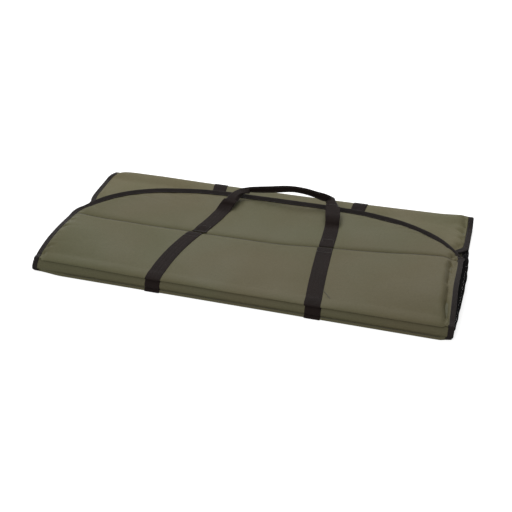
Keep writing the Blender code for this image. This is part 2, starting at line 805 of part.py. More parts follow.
def make_net(name, sign, body):
    first, last = NET_FRONT_SET, NEAR_DEPTH - NET_CREASE_SET
    places = net_lines(first, last, round((last - first) / NET_PITCH), NET_BAR)
    heights = net_lines(0.0, 1.0, NET_ROWS, NET_BAR_SHARE)
    bm = bmesh.new()
    columns, rows = len(places) - 1, len(heights) - 1
    bmesh.ops.create_grid(bm, x_segments=columns, y_segments=rows, size=1)
    for vert in bm.verts:
        vert.co.x = round((vert.co.x + 1) / 2 * columns)
        vert.co.y = round((vert.co.y + 1) / 2 * rows)
    gaps = []
    for face in bm.faces:
        middle = face.calc_center_median()
        if int(middle.x) % 2 and int(middle.y) % 2:
            gaps.append(face)
    bmesh.ops.delete(bm, geom=gaps, context="FACES")
    raised = bmesh.ops.extrude_face_region(bm, geom=bm.faces[:])["geom"]
    raised = {part for part in raised if isinstance(part, bmesh.types.BMVert)}
    for vert in bm.verts:
        v, share = places[round(vert.co.x)], heights[round(vert.co.y)]
        top = near_level(WING_HALF, v) + PINCHED / 2
        bulge = NET_BULGE * math.sin(math.pi * share) * math.sin(math.pi * v / NEAR_DEPTH)
        x = NET_FOOT_X + bulge + (NET_THICK if vert in raised else 0.0)
        vert.co = on_near(sign * x, v, NET_LOW + (top - NET_LOW) * share)
    add_object(name, bm, netting, body)


def build():
    clear_scene()
    base = axis_empty("base_origin", (0, 0, 0))
    front_spine = axis_empty("front_spine_axis", (0, FRONT, FRONT_SEAM_LOW), base)
    near_wing = axis_empty("near_wing_axis", (0, FRONT, FRONT_AXIS_HIGH), front_spine)
    far_wing = axis_empty("far_wing_axis", (0, CREASE_Y, CREASE_AXIS_Z), near_wing)
    handle = axis_empty("handle_axis", (0, CREASE_Y, CREASE_AXIS_Z), far_wing)
    back_spine = axis_empty("back_spine_axis", (0, BACK, BACK_SEAM_LOW), base)
    back_wing = axis_empty("back_wing_axis", (0, BACK, BACK_AXIS_HIGH), back_spine)

    make_base(base)
    make_net("net_gusset_left", -1, base)
    make_net("net_gusset_right", 1, base)
    make_spine(
        "front_spine", FRONT_SEAM_LOW + GAP / 2, FRONT_SEAM_HIGH - PINCHED - GAP,
        (LEFT_STRAP_FRONT, RIGHT_STRAP_FRONT), on_front_spine, front_spine,
    )
    make_spine(
        "back_spine", BACK_SEAM_LOW + GAP / 2, BACK_SEAM_HIGH - PINCHED - GAP,
        (LEFT_STRAP_BACK, RIGHT_STRAP_BACK), on_back_spine, back_spine,
    )
    make_near_wing(near_wing)
    make_far_wing(far_wing)
    make_handle(handle)
    make_back_wing(back_wing)


build()
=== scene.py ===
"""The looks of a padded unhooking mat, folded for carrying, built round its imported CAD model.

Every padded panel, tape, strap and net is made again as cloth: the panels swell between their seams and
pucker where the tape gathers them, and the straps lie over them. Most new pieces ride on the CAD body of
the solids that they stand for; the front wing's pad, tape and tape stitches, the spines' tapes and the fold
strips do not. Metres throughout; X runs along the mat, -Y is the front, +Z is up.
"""

import math

import bmesh
import bpy
import numpy as np
from mathutils import Matrix, Vector, noise


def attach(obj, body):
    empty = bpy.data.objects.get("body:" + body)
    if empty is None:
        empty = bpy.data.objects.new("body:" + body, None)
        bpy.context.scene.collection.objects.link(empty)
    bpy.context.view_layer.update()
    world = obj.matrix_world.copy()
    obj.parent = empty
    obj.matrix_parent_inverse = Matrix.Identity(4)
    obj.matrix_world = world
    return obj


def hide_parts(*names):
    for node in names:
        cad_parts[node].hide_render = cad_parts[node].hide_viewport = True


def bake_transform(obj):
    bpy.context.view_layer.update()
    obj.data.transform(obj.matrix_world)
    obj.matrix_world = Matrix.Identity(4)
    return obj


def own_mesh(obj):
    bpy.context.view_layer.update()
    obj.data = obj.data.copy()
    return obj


bl_info = {
    "name": "Padded Unhooking Mat",
    "version": (1, 0, 0),
    "blender": (4, 5, 0),
    "location": "View3D > Sidebar > Mat",
    "description": "Builds a folded padded fishing mat with tape, straps, grip and net gussets",
    "category": "Object",
}

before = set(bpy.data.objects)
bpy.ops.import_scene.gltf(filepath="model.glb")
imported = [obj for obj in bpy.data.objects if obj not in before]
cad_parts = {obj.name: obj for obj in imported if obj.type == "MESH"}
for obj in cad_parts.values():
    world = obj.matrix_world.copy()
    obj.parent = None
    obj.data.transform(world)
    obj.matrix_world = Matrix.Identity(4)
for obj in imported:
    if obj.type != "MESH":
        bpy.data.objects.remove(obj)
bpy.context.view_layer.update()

# Lengths repeated from the CAD source
FRONT, BACK = -0.240, 0.240
CLOTH = 0.0008
GAP = 0.0003
SKIN_SET = 0.0018
PINCHED = 0.0019
TAPE_WIDTH = 0.012
WEBBING = 0.0015
WEBBING_WIDTH = 0.040
WING_HALF = 0.5169
BASE_HALF = 0.5239
WING_LOW = 0.0219
BACK_WING_LOW = 0.0103
BASE_LOW = 0.0018
CREASE_Y = -0.007
FAR_REACH = 0.2019
BACK_REACH = 0.212
BACK_SEAM_LOW = 0.0030
FAR_CURVE = (3.6, 1.75)
BACK_CURVE = (3.5, 10.0)
TUCKED_LOW = 0.0186

# Lengths worked out from them, and the strip inside a tape that the padding leaves free
WING_FRONT, WING_BACK = FRONT + SKIN_SET, BACK - SKIN_SET
NEAR_DEPTH = CREASE_Y - FRONT - SKIN_SET
HALF_EDGE = PINCHED / 2
TAPE_CLEAR = 0.0004

UP = Vector((0, 0, 1))
SIDES = (("left", -1), ("right", 1))
UV = "UVMap"


# Small sums
def clamp(value, low=0.0, high=1.0):
    return min(max(value, low), high)


def ease(share):
    share = clamp(share)
    return share * share * (3 - 2 * share)


def ramp(place, start=0.0, over=1.0):
    """0 up to the start, then a smooth climb to 1 over a length."""
    return ease((place - start) / over)


def fall(place, end, over):
    """1 until a length before the end, then a smooth fall to 0 at the end."""
    return ease((end - place) / over)


def hump(share):
    """0 at both ends and 1 in the middle."""
    return math.sin(math.pi * clamp(share))


def bell(distance, width):
    """1 at the place itself, fading smoothly on both sides."""
    return math.exp(-(distance / width) ** 2)


def fading(distance, over):
    """1 at the place itself, dying away from it."""
    return math.exp(-distance / over)


def rolled(inside, over):
    """Height of a padded edge: steep at the seam, level once the foam is at its full thickness."""
    share = clamp(inside / over)
    return (1 - (1 - share) ** 2) ** 0.62


def ripple(x, y, seed):
    """Smooth noise, different for each seed."""
    return noise.noise(Vector((x, y, seed)))


def spread(start, end, step, fine=()):
    """Places from start to end a step apart, with closer ones near both ends."""
    head = [start + d for d in fine]
    tail = [end - d for d in reversed(fine)]
    first, last = (head[-1], tail[0]) if fine else (start, end)
    count = max(round((last - first) / step), 1)
    middle = [first + (last - first) * k / count for k in range(1, count)]
    if not fine:
        return [start] + middle + [end]
    return head + middle + tail


class Outline:
    """A panel's taped edge, |x/a|^n + |v/b|^m = 1, where v is counted from the panel's seam."""

    def __init__(self, half, reach, curve):
        self.half, self.reach = half, reach
        self.n, self.m = curve

    def depth_at(self, x):
        return self.reach * max(1 - abs(x / self.half) ** self.n, 0.0) ** (1 / self.m)

    def width_at(self, v):
        return self.half * max(1 - (v / self.reach) ** self.m, 0.0) ** (1 / self.n)

    def inset(self, x, v):
        """How far inside the edge a place is."""
        if v <= 0:
            return self.half - abs(x)
        near, far = 0.0, min(self.reach, self.half)
        for _ in range(18):
            inset = (near + far) / 2
            reached = abs(x / (self.half - inset)) ** self.n
            reached += (v / max(self.reach - inset, 1e-5)) ** self.m
            if reached < 1:
                near = inset
            else:
                far = inset
        return near

    def point(self, inset, turn):
        along, across = math.cos(turn), max(math.sin(turn), 0.0)
        x = (self.half - inset) * math.copysign(abs(along) ** (2 / self.n), along)
        return x, (self.reach - inset) * across ** (2 / self.m)


FAR_EDGE = Outline(WING_HALF, FAR_REACH, FAR_CURVE)
BACK_EDGE = Outline(BASE_HALF, BACK_REACH, BACK_CURVE)


# Meshes
def woven_grid(rows, columns, place, unrolled):
    """A grid of cloth with its places and its flat cloth coordinates given by row and column."""
    bm = bmesh.new()
    bmesh.ops.create_grid(bm, x_segments=columns - 1, y_segments=rows - 1, size=1)
    cloth = bm.loops.layers.uv.new(UV)
    spot = {}
    for vert in bm.verts:
        column = round((vert.co.x + 1) / 2 * (columns - 1))
        row = round((vert.co.y + 1) / 2 * (rows - 1))
        spot[vert] = (row, column)
    for face in bm.faces:
        for loop in face.loops:
            loop[cloth].uv = unrolled(*spot[loop.vert])
    for vert, (row, column) in spot.items():
        vert.co = place(row, column)
    return bm, spot


def finish_piece(name, bm, materials, smooth=math.radians(50)):
    """The mesh as a piece at the origin, with its finishes."""
    bmesh.ops.recalc_face_normals(bm, faces=bm.faces[:])
    mesh = bpy.data.meshes.new(name)
    bm.to_mesh(mesh)
    bm.free()
    mesh.shade_smooth()
    if smooth:
        mesh.set_sharp_from_angle(angle=smooth)
    for material in materials:
        mesh.materials.append(material)
    piece = bpy.data.objects.new(name, mesh)
    bpy.context.scene.collection.objects.link(piece)
    return piece


def padded_panel(name, rows, columns, outer, inner, unrolled, materials):
    """A closed pad between its outer cloth and its inner cloth, over one grid."""
    bm, spot = woven_grid(rows, columns, inner, unrolled)
    raised = bmesh.ops.extrude_face_region(bm, geom=bm.faces[:])["geom"]
    raised = [part for part in raised if isinstance(part, bmesh.types.BMVert)]
    places = {tuple(vert.co): at for vert, at in spot.items()}
    lifted = set(raised)
    for face in bm.faces:
        if not any(vert in lifted for vert in face.verts):
            face.material_index = 1
    for vert in raised:
        vert.co = outer(*places[tuple(vert.co)])
    bmesh.ops.remove_doubles(bm, verts=bm.verts[:], dist=2e-6)
    return finish_piece(name, bm, materials)


def swept(name, stations, materials, along=None, smooth=math.radians(40)):
    """A closed bar through section loops, with cloth coordinates round it and along it."""
    points = len(stations[0])
    round_it = [0.0]
    for k in range(points):
        round_it.append(round_it[-1] + (stations[0][(k + 1) % points] - stations[0][k]).length)
    if along is None:
        along = [0.0]
        for before, after in zip(stations, stations[1:]):
            along.append(along[-1] + (after[0] - before[0]).length)
    bm, _ = woven_grid(
        len(stations), points + 1,
        lambda row, column: stations[row][column % points],
        lambda row, column: (round_it[column], along[row]),
    )
    bmesh.ops.remove_doubles(bm, verts=bm.verts[:], dist=1e-7)
    bmesh.ops.holes_fill(bm, edges=bm.edges[:], sides=0)
    return finish_piece(name, bm, materials, smooth)


THREAD_RISE, THREAD_THICK = 0.0002, 0.0005


def stitches(name, runs, material, length=0.0026, pitch=0.0042, width=0.0006):
    """Rows of thread: each run is a list of (place, normal) along a seam."""
    bm = bmesh.new()
    for run in runs:
        travelled = 0.0
        for (place, normal), (after, _) in zip(run, run[1:]):
            step = after - place
            while travelled < step.length:
                forward = step.normalized()
                side = normal.cross(forward).normalized()
                up = forward.cross(side)
                turn = Matrix((forward, side, up)).transposed().to_4x4()
                at = Matrix.Translation(place + forward * travelled + normal * THREAD_RISE)
                size = Matrix.Diagonal((length, width, THREAD_THICK, 1))
                bmesh.ops.create_cube(bm, size=1, matrix=at @ turn @ size)
                travelled += pitch
            travelled -= step.length
    return finish_piece(name, bm, [material], smooth=None)


# Cloth settling
class Field:
    """Heights on a regular grid, read between its points."""

    def __init__(self, xs, ys, values):
        self.xs, self.ys, self.values = xs, ys, values

    def __call__(self, x, y):
        columns, rows = len(self.xs) - 1, len(self.ys) - 1
        u = clamp((x - self.xs[0]) / (self.xs[-1] - self.xs[0]) * columns, high=columns - 1e-6)
        v = clamp((y - self.ys[0]) / (self.ys[-1] - self.ys[0]) * rows, high=rows - 1e-6)
        i, j = int(u), int(v)
        u, v = u - i, v - j
        near = self.values[j, i] * (1 - u) + self.values[j, i + 1] * u
        far = self.values[j + 1, i] * (1 - u) + self.values[j + 1, i + 1] * u
        return near * (1 - v) + far * v


def settle(name, xs, ys, start, kept, held, slack, frames=16):
    """Cloth that is sewn down where held and longer than its seams where slack: how far it moves in Z."""
    flat = Field(xs, ys, np.zeros((len(ys), len(xs))))
    bm, spot = woven_grid(
        len(ys), len(xs), lambda j, i: Vector((xs[i], ys[j], start(xs[i], ys[j]))), lambda j, i: (0, 0),
    )
    outside = {vert for vert, (j, i) in spot.items() if not kept(xs[i], ys[j])}
    spot = {vert: at for vert, at in spot.items() if vert not in outside}
    bmesh.ops.delete(bm, geom=list(outside), context="VERTS")
    bm.verts.index_update()
    order = {vert.index: at for vert, at in spot.items()}
    border = {vert.index for vert in bm.verts if vert.is_boundary}
    piece = finish_piece(name, bm, [], smooth=None)
    pin, grow = piece.vertex_groups.new(name="Sewn"), piece.vertex_groups.new(name="Slack")
    before = np.array([vert.co for vert in piece.data.vertices])
    for index, (j, i) in order.items():
        pin.add([index], 1.0 if index in border else held(xs[i], ys[j]), "REPLACE")
        grow.add([index], slack(xs[i], ys[j]), "REPLACE")
    cloth = piece.modifiers.new("Settle", "CLOTH").settings
    cloth.quality = 5
    cloth.mass = 0.2
    cloth.tension_stiffness = cloth.compression_stiffness = 18
    cloth.shear_stiffness = 9
    cloth.bending_stiffness = 0.35
    cloth.vertex_group_mass = pin.name
    cloth.vertex_group_shrink = grow.name
    cloth.shrink_min, cloth.shrink_max = 0.0, -0.035
    cloth.effector_weights.gravity = 0
    scene = bpy.context.scene
    for number in range(1, frames + 1):
        scene.frame_set(number)
    result = piece.evaluated_get(bpy.context.evaluated_depsgraph_get()).data
    after = np.array([vert.co for vert in result.vertices])
    for index, (j, i) in order.items():
        flat.values[j, i] = after[index][2] - before[index][2]
    bpy.data.objects.remove(piece, do_unlink=True)
    scene.frame_set(1)
    return flat


# Finishes
class Nodes:
    """A node tree, written one node at a time."""

    def __init__(self, owner, shader="Principled BSDF"):
        self.owner = owner
        owner.use_nodes = True
        self.tree = owner.node_tree
        self.shader = self.tree.nodes[shader]

    def add(self, kind, inputs=None, **settings):
        made = self.tree.nodes.new(kind)
        for key, value in settings.items():
            setattr(made, key, value)
        for key, value in (inputs or {}).items():
            self.put(made.inputs[key], value)
        return made

    def put(self, socket, value):
        if isinstance(value, bpy.types.NodeSocket):
            self.tree.links.new(value, socket)
        else:
            socket.default_value = value

    def finish(self, **inputs):
        """The material or world, once its shader has these inputs."""
        for key, value in inputs.items():
            self.put(self.shader.inputs[key.replace("_", " ")], value)
        return self.owner

    def math(self, operation, *values):
        made = self.add("ShaderNodeMath", operation=operation)
        for socket, value in zip(made.inputs, values):
            self.put(socket, value)
        return made.outputs[0]

    def mix(self, share, first, second):
        made = self.add("ShaderNodeMix", data_type="RGBA")
        for socket, value in ((made.inputs[0], share), (made.inputs[6], first), (made.inputs[7], second)):
            self.put(socket, value)
        return made.outputs[2]

    def cloth_places(self):
        places = self.add("ShaderNodeUVMap", uv_map=UV)
        parts = self.add("ShaderNodeSeparateXYZ", {0: places.outputs[0]})
        return parts.outputs[0], parts.outputs[1]

    def mottle(self, scale, detail=3.0, roughness=0.5):
        spots = self.add("ShaderNodeTexCoord").outputs["Object"]
        made = self.add(
            "ShaderNodeTexNoise", {"Vector": spots, "Scale": scale, "Detail": detail, "Roughness": roughness},
        )
        return made.outputs["Fac"]

    def wave(self, place, period):
        return self.math("SINE", self.math("MULTIPLY", place, 2 * math.pi / period))

    def bump(self, height, distance, strength=1.0, normal=None):
        inputs = {"Height": height, "Distance": distance, "Strength": strength}
        if normal is not None:
            inputs["Normal"] = normal
        return self.add("ShaderNodeBump", inputs).outputs[0]

    def ranged(self, value, low=0.0, high=1.0, first=0.0, last=1.0):
        """The value, with the stretch from low to high carried to the one from first to last."""
        inputs = dict(enumerate((value, low, high, first, last)))
        return self.add("ShaderNodeMapRange", inputs).outputs[0]

    def graded(self, value, shade):
        """A colour made lighter or darker by a value."""
        return self.add("ShaderNodeHueSaturation", {"Value": value, "Color": shade}).outputs[0]

    def seen(self):
        """1 for what the camera sees, also in a reflection or through glass."""
        light = self.add("ShaderNodeLightPath")
        direct = light.outputs["Is Camera Ray"]
        for ray in ("Is Glossy Ray", "Is Transmission Ray"):
            direct = self.math("MAXIMUM", direct, light.outputs[ray])
        return direct


def colour(rgb):
    return (*rgb, 1.0)


WHITE = colour((1.0, 1.0, 1.0))
WARM_TINT, GREEN_TINT = (1.03, 1.00, 0.98), (0.95, 1.02, 0.98)


def nylon(name, rgb, gloss=0.54, weave=0.0009, lighter=1.0):
    """Coated plain-weave nylon: a soft sheen, faint slubs and drifting shade."""
    made = Nodes(bpy.data.materials.new(name))
    # A value of lighter above 1 makes a lit copy of the same cloth, a painted sheen.
    rgb = [channel * lighter for channel in rgb]
    u, v = made.cloth_places()
    checks = made.math("MULTIPLY", made.wave(u, weave), made.wave(v, weave))
    threads = made.bump(checks, distance=0.00006, strength=0.5)
    creases = made.bump(made.mottle(scale=55.0, detail=4.0), distance=0.0008, strength=0.35, normal=threads)
    drift = made.ranged(made.mottle(scale=3.2, detail=2.0), low=0.36, high=0.64)
    warm = colour(channel * tint for channel, tint in zip(rgb, WARM_TINT))
    green = colour(channel * tint for channel, tint in zip(rgb, GREEN_TINT))
    slubs = made.ranged(made.mottle(scale=210.0, detail=2.0), low=0.3, high=0.7, first=0.95, last=1.05)
    worn = made.mottle(scale=8.0, detail=4.0)
    return made.finish(
        Base_Color=made.graded(slubs, made.mix(drift, green, warm)),
        Roughness=made.ranged(worn, low=0.3, high=0.7, first=gloss - 0.05, last=gloss + 0.07),
        Normal=creases, Specular_IOR_Level=0.15,
        Sheen_Weight=0.02, Sheen_Roughness=0.40, Sheen_Tint=colour((0.85, 0.88, 0.72)),
    )


def webbing_finish(name, rgb, rib=0.0014, cord=0.0021, chevron=0.005, slant=0.8):
    """Flat woven webbing: slanting ribs that turn back in chevrons, over fine cords along it, with painted
    shade darkening the hollows between the ribs.
    """
    made = Nodes(bpy.data.materials.new(name))
    u, v = made.cloth_places()
    turned = made.math("MULTIPLY", made.math("PINGPONG", u, chevron), slant)
    ribs = made.math("MULTIPLY", made.wave(made.math("ADD", v, turned), rib), 0.6)
    cords = made.math("MULTIPLY", made.wave(u, cord), 0.4)
    height = made.math("ADD", ribs, cords)
    # Painted shade: the colour darkens where the weave's height is low, in the hollows between ribs and
    # cords.
    valley_shade = made.ranged(height, low=-1.0, high=1.0, first=0.62, last=1.25)
    dust = made.ranged(made.mottle(scale=24.0, detail=4.0), low=0.3, high=0.75, first=0.85, last=1.25)
    return made.finish(
        Base_Color=made.graded(made.math("MULTIPLY", valley_shade, dust), colour(rgb)), Roughness=0.62,
        Normal=made.bump(height, distance=0.00018, strength=0.8),
        Specular_IOR_Level=0.07, Sheen_Weight=0.03, Sheen_Roughness=0.45,
    )


def tape_finish(name, rgb, rib=0.0011, cord=0.003):
    """Ribbed binding tape, a little worn."""
    made = Nodes(bpy.data.materials.new(name))
    u, v = made.cloth_places()
    height = made.math("ADD", made.wave(v, rib), made.math("MULTIPLY", made.wave(u, cord), 0.3))
    worn = made.ranged(made.mottle(scale=30.0, detail=4.0), low=0.3, high=0.75, first=0.85, last=1.35)
    return made.finish(
        Base_Color=made.graded(worn, colour(rgb)), Roughness=0.70,
        Normal=made.bump(height, distance=0.00014, strength=0.8), Specular_IOR_Level=0.12, Sheen_Weight=0.04,
    )


def thread_finish(name, rgb):
    """Sewing thread with its strands."""
    made = Nodes(bpy.data.materials.new(name))
    strands = made.ranged(made.mottle(scale=900.0, detail=1.0), first=0.75, last=1.2)
    return made.finish(Base_Color=made.graded(strands, colour(rgb)), Roughness=0.55)


def net_finish(name, rgb):
    """Twisted netting cord."""
    made = Nodes(bpy.data.materials.new(name))
    twist = made.mottle(scale=700.0, detail=2.0)
    return made.finish(
        Base_Color=made.graded(made.ranged(twist, first=0.7, last=1.4), colour(rgb)), Roughness=0.8,
        Normal=made.bump(twist, distance=0.0002, strength=0.6), Specular_IOR_Level=0.15,
    )


def floor_finish(name, tone, glow, uneven=0.02):
    """A pale floor whose lit part clips to white for the camera and keeps the shadow."""
    made = Nodes(bpy.data.materials.new(name))
    grain = made.ranged(made.mottle(scale=40.0), first=tone * (1 - uneven), last=tone * (1 + uneven))
    return made.finish(
        Base_Color=made.add("ShaderNodeCombineColor", {0: grain, 1: grain, 2: grain}).outputs[0],
        Roughness=0.9, Specular_IOR_Level=0.1,
        Emission_Color=WHITE, Emission_Strength=made.math("MULTIPLY", made.seen(), glow),
    )


# Front wing: one padded panel from the front seam over the sewn crease to the taped curve
WING_SEAM = 0.0302
STRAPS = {"left": (-0.1985, 0.0335, 2.2), "right": (0.2040, -0.0265, 0.75)}
LEGS = {"left": (-0.1595, 0.380, -1.05), "right": (0.1785, -0.020, -0.45)}
BACK_STRAPS = {"left": (-0.182, -0.172), "right": (0.222, 0.212)}


def strap_x(side, y):
    """Centre line of a strap on the front wing: sewn on the near panel, loose past the crease."""
    if y <= CREASE_Y:
        front, drift, power = STRAPS[side]
        return front + drift * clamp((y - WING_FRONT) / NEAR_DEPTH) ** power
    crease, slope, bend = LEGS[side]
    past = y - CREASE_Y
    return crease + slope * past + bend * past * past


def wing_inset(x, y):
    return FAR_EDGE.inset(x, y - CREASE_Y)


# How far the wing's cloth leaves its flat plan: sideways at its ends, then back and forth along it
RIGHT_SPREAD, RIGHT_NARROWING, RIGHT_REAR_SPREAD, RIGHT_CREASE_SPREAD = 0.0090, 0.060, 0.0050, 0.0065
LEFT_SPREAD, LEFT_REAR_SPREAD = 0.0100, 0.0040
CREASE_FORWARD, MIDDLE_DRAWN, RIGHT_DRAWN = 0.009, 0.019, 0.020
ARC_FORWARD, LEFT_ARC_FORWARD, ARC_WAVER = 0.0070, 0.0040, 0.0020
SHORTEST_FAR_DEPTH = 0.045


def end_spread(x, v, past):
    """How far the wing's ends stand out: at the front, and again at the right end of the crease."""
    rear = ramp(v, start=0.11, over=0.11)
    if x > 0:
        wide = RIGHT_SPREAD - RIGHT_NARROWING * clamp(v, 0.0, NEAR_DEPTH) + RIGHT_REAR_SPREAD * rear
        wide *= 1 - ramp(past, over=0.09)
        bulge = RIGHT_CREASE_SPREAD * ramp(past, start=-0.010, over=0.035)
        return wide + bulge * (1 - ramp(past, start=0.030, over=0.060))
    wide = (LEFT_SPREAD + LEFT_REAR_SPREAD * rear) * (1 - ramp(past, start=-0.012, over=0.092))
    return wide * (0.4 + 0.6 * ramp(v, over=0.035))


def wing_drift(place):
    """The wing's ends spread at the front, and the crease is drawn back towards its right end."""
    x, y, z = place
    v, past = y - WING_FRONT, y - CREASE_Y
    end = ramp(abs(x), start=0.40, over=0.117)
    drawn = MIDDLE_DRAWN * ramp(x, start=-0.02, over=0.26) - CREASE_FORWARD
    drawn += RIGHT_DRAWN * ramp(x, start=0.20, over=0.20)
    if x > 0:
        drawn *= 1 - 0.30 * ramp(x, start=0.460, over=0.050)
    else:
        drawn *= 1 - 0.8 * ramp(-x, start=0.40, over=0.12)
    if past < 0:
        drawn *= clamp(v / NEAR_DEPTH) ** 1.5
    else:
        share = past / max(FAR_EDGE.depth_at(x), SHORTEST_FAR_DEPTH)
        drawn *= max(1 - share, 0.0)
        arc = ARC_FORWARD + LEFT_ARC_FORWARD * ramp(-x, start=0.20, over=0.10)
        arc += ARC_WAVER * ripple(x * 11, 0.0, seed=61.0)
        drawn -= arc * min(share, 1.0) ** 2
    return Vector((x + end_spread(x, v, past) * end * (1 if x > 0 else -1), y + drawn, z))


# The worn corners of the base, its spines and the back wing
LEFT_BACK_DRAWN, RIGHT_BACK_DRAWN, LEFT_BACK_CORNER = 0.012, 0.0015, 0.0075
FOOT_ROUNDING, FOOT_HEIGHT = 0.0065, 0.011


def worn(place, wide=0.0):
    """The worn corners: the front ones spread, the back left one is drawn in and the right one rounded."""
    x, y, z = place
    end = ramp(abs(x), start=0.44, over=0.077)
    front = 1 - ramp(y, start=FRONT, over=0.060)
    back = 1 - fall(y, end=BACK, over=0.038)
    drawn = LEFT_BACK_DRAWN if x < 0 else RIGHT_BACK_DRAWN
    corner = LEFT_BACK_CORNER * max(1 - (BACK - y) / 0.020, 0.0) ** 1.5 if x < 0 else 0.0
    rounded = FOOT_ROUNDING * max(1 - z / FOOT_HEIGHT, 0.0) ** 2 * (1 - ramp(y, start=FRONT, over=0.02))
    move = (wide * front - drawn * back - rounded - corner) * end
    return Vector((x + move * (1 if x > 0 else -1), y - 0.4 * drawn * back * end, z))


def corner_rise(x):
    """The front seam climbs a little towards the left end."""
    return 0.0040 * ramp(-x, start=0.22, over=0.26)


# Heights of the wing's lower face over its flat level
LEFT_CREASE_LIFT = 0.0008
EDGE_LIFT = 0.0015
RIGHT_RIM, LEFT_RIM, FAR_RIM, RIM_WIDTH = 0.0042, -0.0015, 0.0085, 0.0135
CREASED_FROM, TAPE_HOLD = 0.45, 0.0098


def wing_lift(x, y):
    """The bunched net under the wing's ends pushes them up, most at the right end of the crease."""
    shape = bpy.context.scene.mat_shape
    v = (y - WING_FRONT) / NEAR_DEPTH
    across = max(hump(clamp(v) ** 0.85), 0.0) ** 1.3
    lift = shape.end_lift * ramp(abs(x), start=0.227, over=0.290) * across
    if x > 0:
        sides = ramp(x, start=0.33, over=0.187) * ramp(v, over=0.95)
        return lift + shape.right_lift * sides * fall(v, end=1.75, over=0.75)
    sides = ramp(-x, start=0.44, over=0.077) * ramp(v, over=0.8)
    return lift + LEFT_CREASE_LIFT * sides * fall(v, end=1.8, over=0.8)


def wing_low(x, y, inset):
    """Height of the wing's lower face, which is also where its tape holds it."""
    v, past = y - WING_FRONT, y - CREASE_Y
    seam = (WING_SEAM + corner_rise(x) - PINCHED - WING_LOW) * (1 - ramp(v, over=0.032))
    edge = EDGE_LIFT * (1 - ramp(inset, start=0.016, over=0.050))
    if x > 0:
        side, far = RIGHT_RIM, ramp(past, start=0.03, over=0.10)
    else:
        side = LEFT_RIM
        far = 0.45 * ramp(past, start=-0.015, over=0.055) + 0.55 * ramp(past, start=0.020, over=0.080)
    rim = (side * ramp(v, over=0.04) * (1 - far) + FAR_RIM * far) * max(1 - inset / RIM_WIDTH, 0.0)
    sunk = 0.0
    if abs(x) > CREASED_FROM and inset > TAPE_HOLD:
        sunk = 0.7 * creased(x, y, WING_CREASES) * ramp(inset, start=TAPE_HOLD, over=0.004)
    return WING_LOW + max(seam, edge) + rim + sunk + wing_lift(x, y)


def pressed(aside):
    """How hard a strap presses on the padding at a distance from its middle, 0 to 1."""
    return 1 - ramp(aside, start=0.017, over=0.016)


def strap_press(x, y):
    return max(pressed(abs(x - strap_x(side, y))) for side in STRAPS)


def wing_puff(x, y, inset):
    """How far the padding lifts the upper cloth off the lower face."""
    shape = bpy.context.scene.mat_shape
    v = y - WING_FRONT
    hollow = right_hollow(x, y)
    inside = inset - TAPE_WIDTH - TAPE_CLEAR
    side = rolled(inside - hollow, over=0.024 - 0.010 * ramp(x, over=0.4))
    lip = 0.0022 * hump(inside / hollow) if 0 < inside < hollow else 0.0
    front = rolled(v, over=0.020)
    crease = 1 - shape.crease_share * (1 - rolled(abs(y - CREASE_Y), over=0.018))
    crown = 1 + 0.22 * hump(v / NEAR_DEPTH)
    press = 1 - 0.14 * strap_press(x, y)
    return shape.wing_puff * side * front * crease * crown * press + lip * front


def right_hollow(x, y):
    """How far the padding stops short of the tape at the right end, where the net pulls the cloth."""
    v = (y - WING_FRONT) / NEAR_DEPTH
    if x < 0 or v <= 0:
        return 0.0
    wide = (0.0080 + 0.0075 * ease(v)) * ramp(v, over=0.25) * fall(v, end=1.22, over=0.2)
    return wide * (1 + 0.5 * ripple(v * 5, 0.0, seed=71.0))


def gathers(along, inside, seed):
    """Short creases where tape gathers cloth: along the tape, and how far inside its inner edge."""
    if inside < 0 or inside > 0.09:
        return 0.0
    reach = 0.010 + 0.022 * abs(ripple(along * 9.0, 0.0, seed + 5.0)) * 2
    ridge = 1 - min(abs(ripple(along * 30.0, inside * 9.0, seed)) * 3.2, 1.0)
    return -(ridge ** 1.5) * fading(inside, over=reach) * ramp(inside, over=0.004)


# Creases that start at the taped ends: where each starts and fades out, half its width, and its depth
WING_CREASES = (
    ((0.5050, 0.0060), (0.4880, -0.0140), 0.0040, 0.0040),
    ((0.4895, -0.0250), (0.4910, -0.1700), 0.0050, 0.0035),
    ((0.4980, -0.2000), (0.4910, -0.0900), 0.0045, 0.0030),
    ((0.5020, -0.2080), (0.4870, -0.2330), 0.0040, 0.0035),
    ((0.5050, -0.0700), (0.4940, -0.0780), 0.0030, 0.0020),
    ((-0.5040, -0.0450), (-0.4780, -0.0540), 0.0030, 0.0026),
    ((-0.5040, -0.0950), (-0.4760, -0.0850), 0.0035, 0.0028),
    ((-0.5040, -0.1480), (-0.4830, -0.1560), 0.0030, 0.0024),
    ((-0.5030, -0.1880), (-0.4740, -0.1780), 0.0050, 0.0034),
    ((-0.5030, -0.2120), (-0.4850, -0.2040), 0.0040, 0.0026),
)
BACK_CREASES = (
    ((0.5090, 0.2210), (0.4780, 0.2330), 0.0042, 0.0044),
    ((0.5090, 0.1980), (0.4900, 0.2010), 0.0030, 0.0030),
    ((0.5090, 0.1690), (0.4800, 0.1870), 0.0050, 0.0048),
    ((0.5090, 0.1400), (0.4860, 0.1490), 0.0042, 0.0038),
    ((0.5080, 0.1050), (0.4850, 0.1120), 0.0060, 0.0042),
    ((-0.5060, 0.2200), (-0.4900, 0.2260), 0.0035, 0.0024),
)


def creased(x, y, marks):
    """How far the creases lower the cloth here."""
    drop = 0.0
    for (x0, y0), (x1, y1), half, depth in marks:
        length = math.hypot(x1 - x0, y1 - y0)
        along = ((x - x0) * (x1 - x0) + (y - y0) * (y1 - y0)) / length
        if -half < along < length:
            aside = ((x - x0) * (y1 - y0) - (y - y0) * (x1 - x0)) / length
            ends = (1 - ramp(along, over=length)) * ramp(along, start=-half, over=half)
            drop -= depth * bell(aside, half) * ends
    return drop


def wing_start(x, y):
    inset = wing_inset(x, y)
    return wing_low(x, y, inset) + PINCHED + wing_puff(x, y, inset)


START_RIPPLE, START_GATHERS = 0.0005, 0.0012


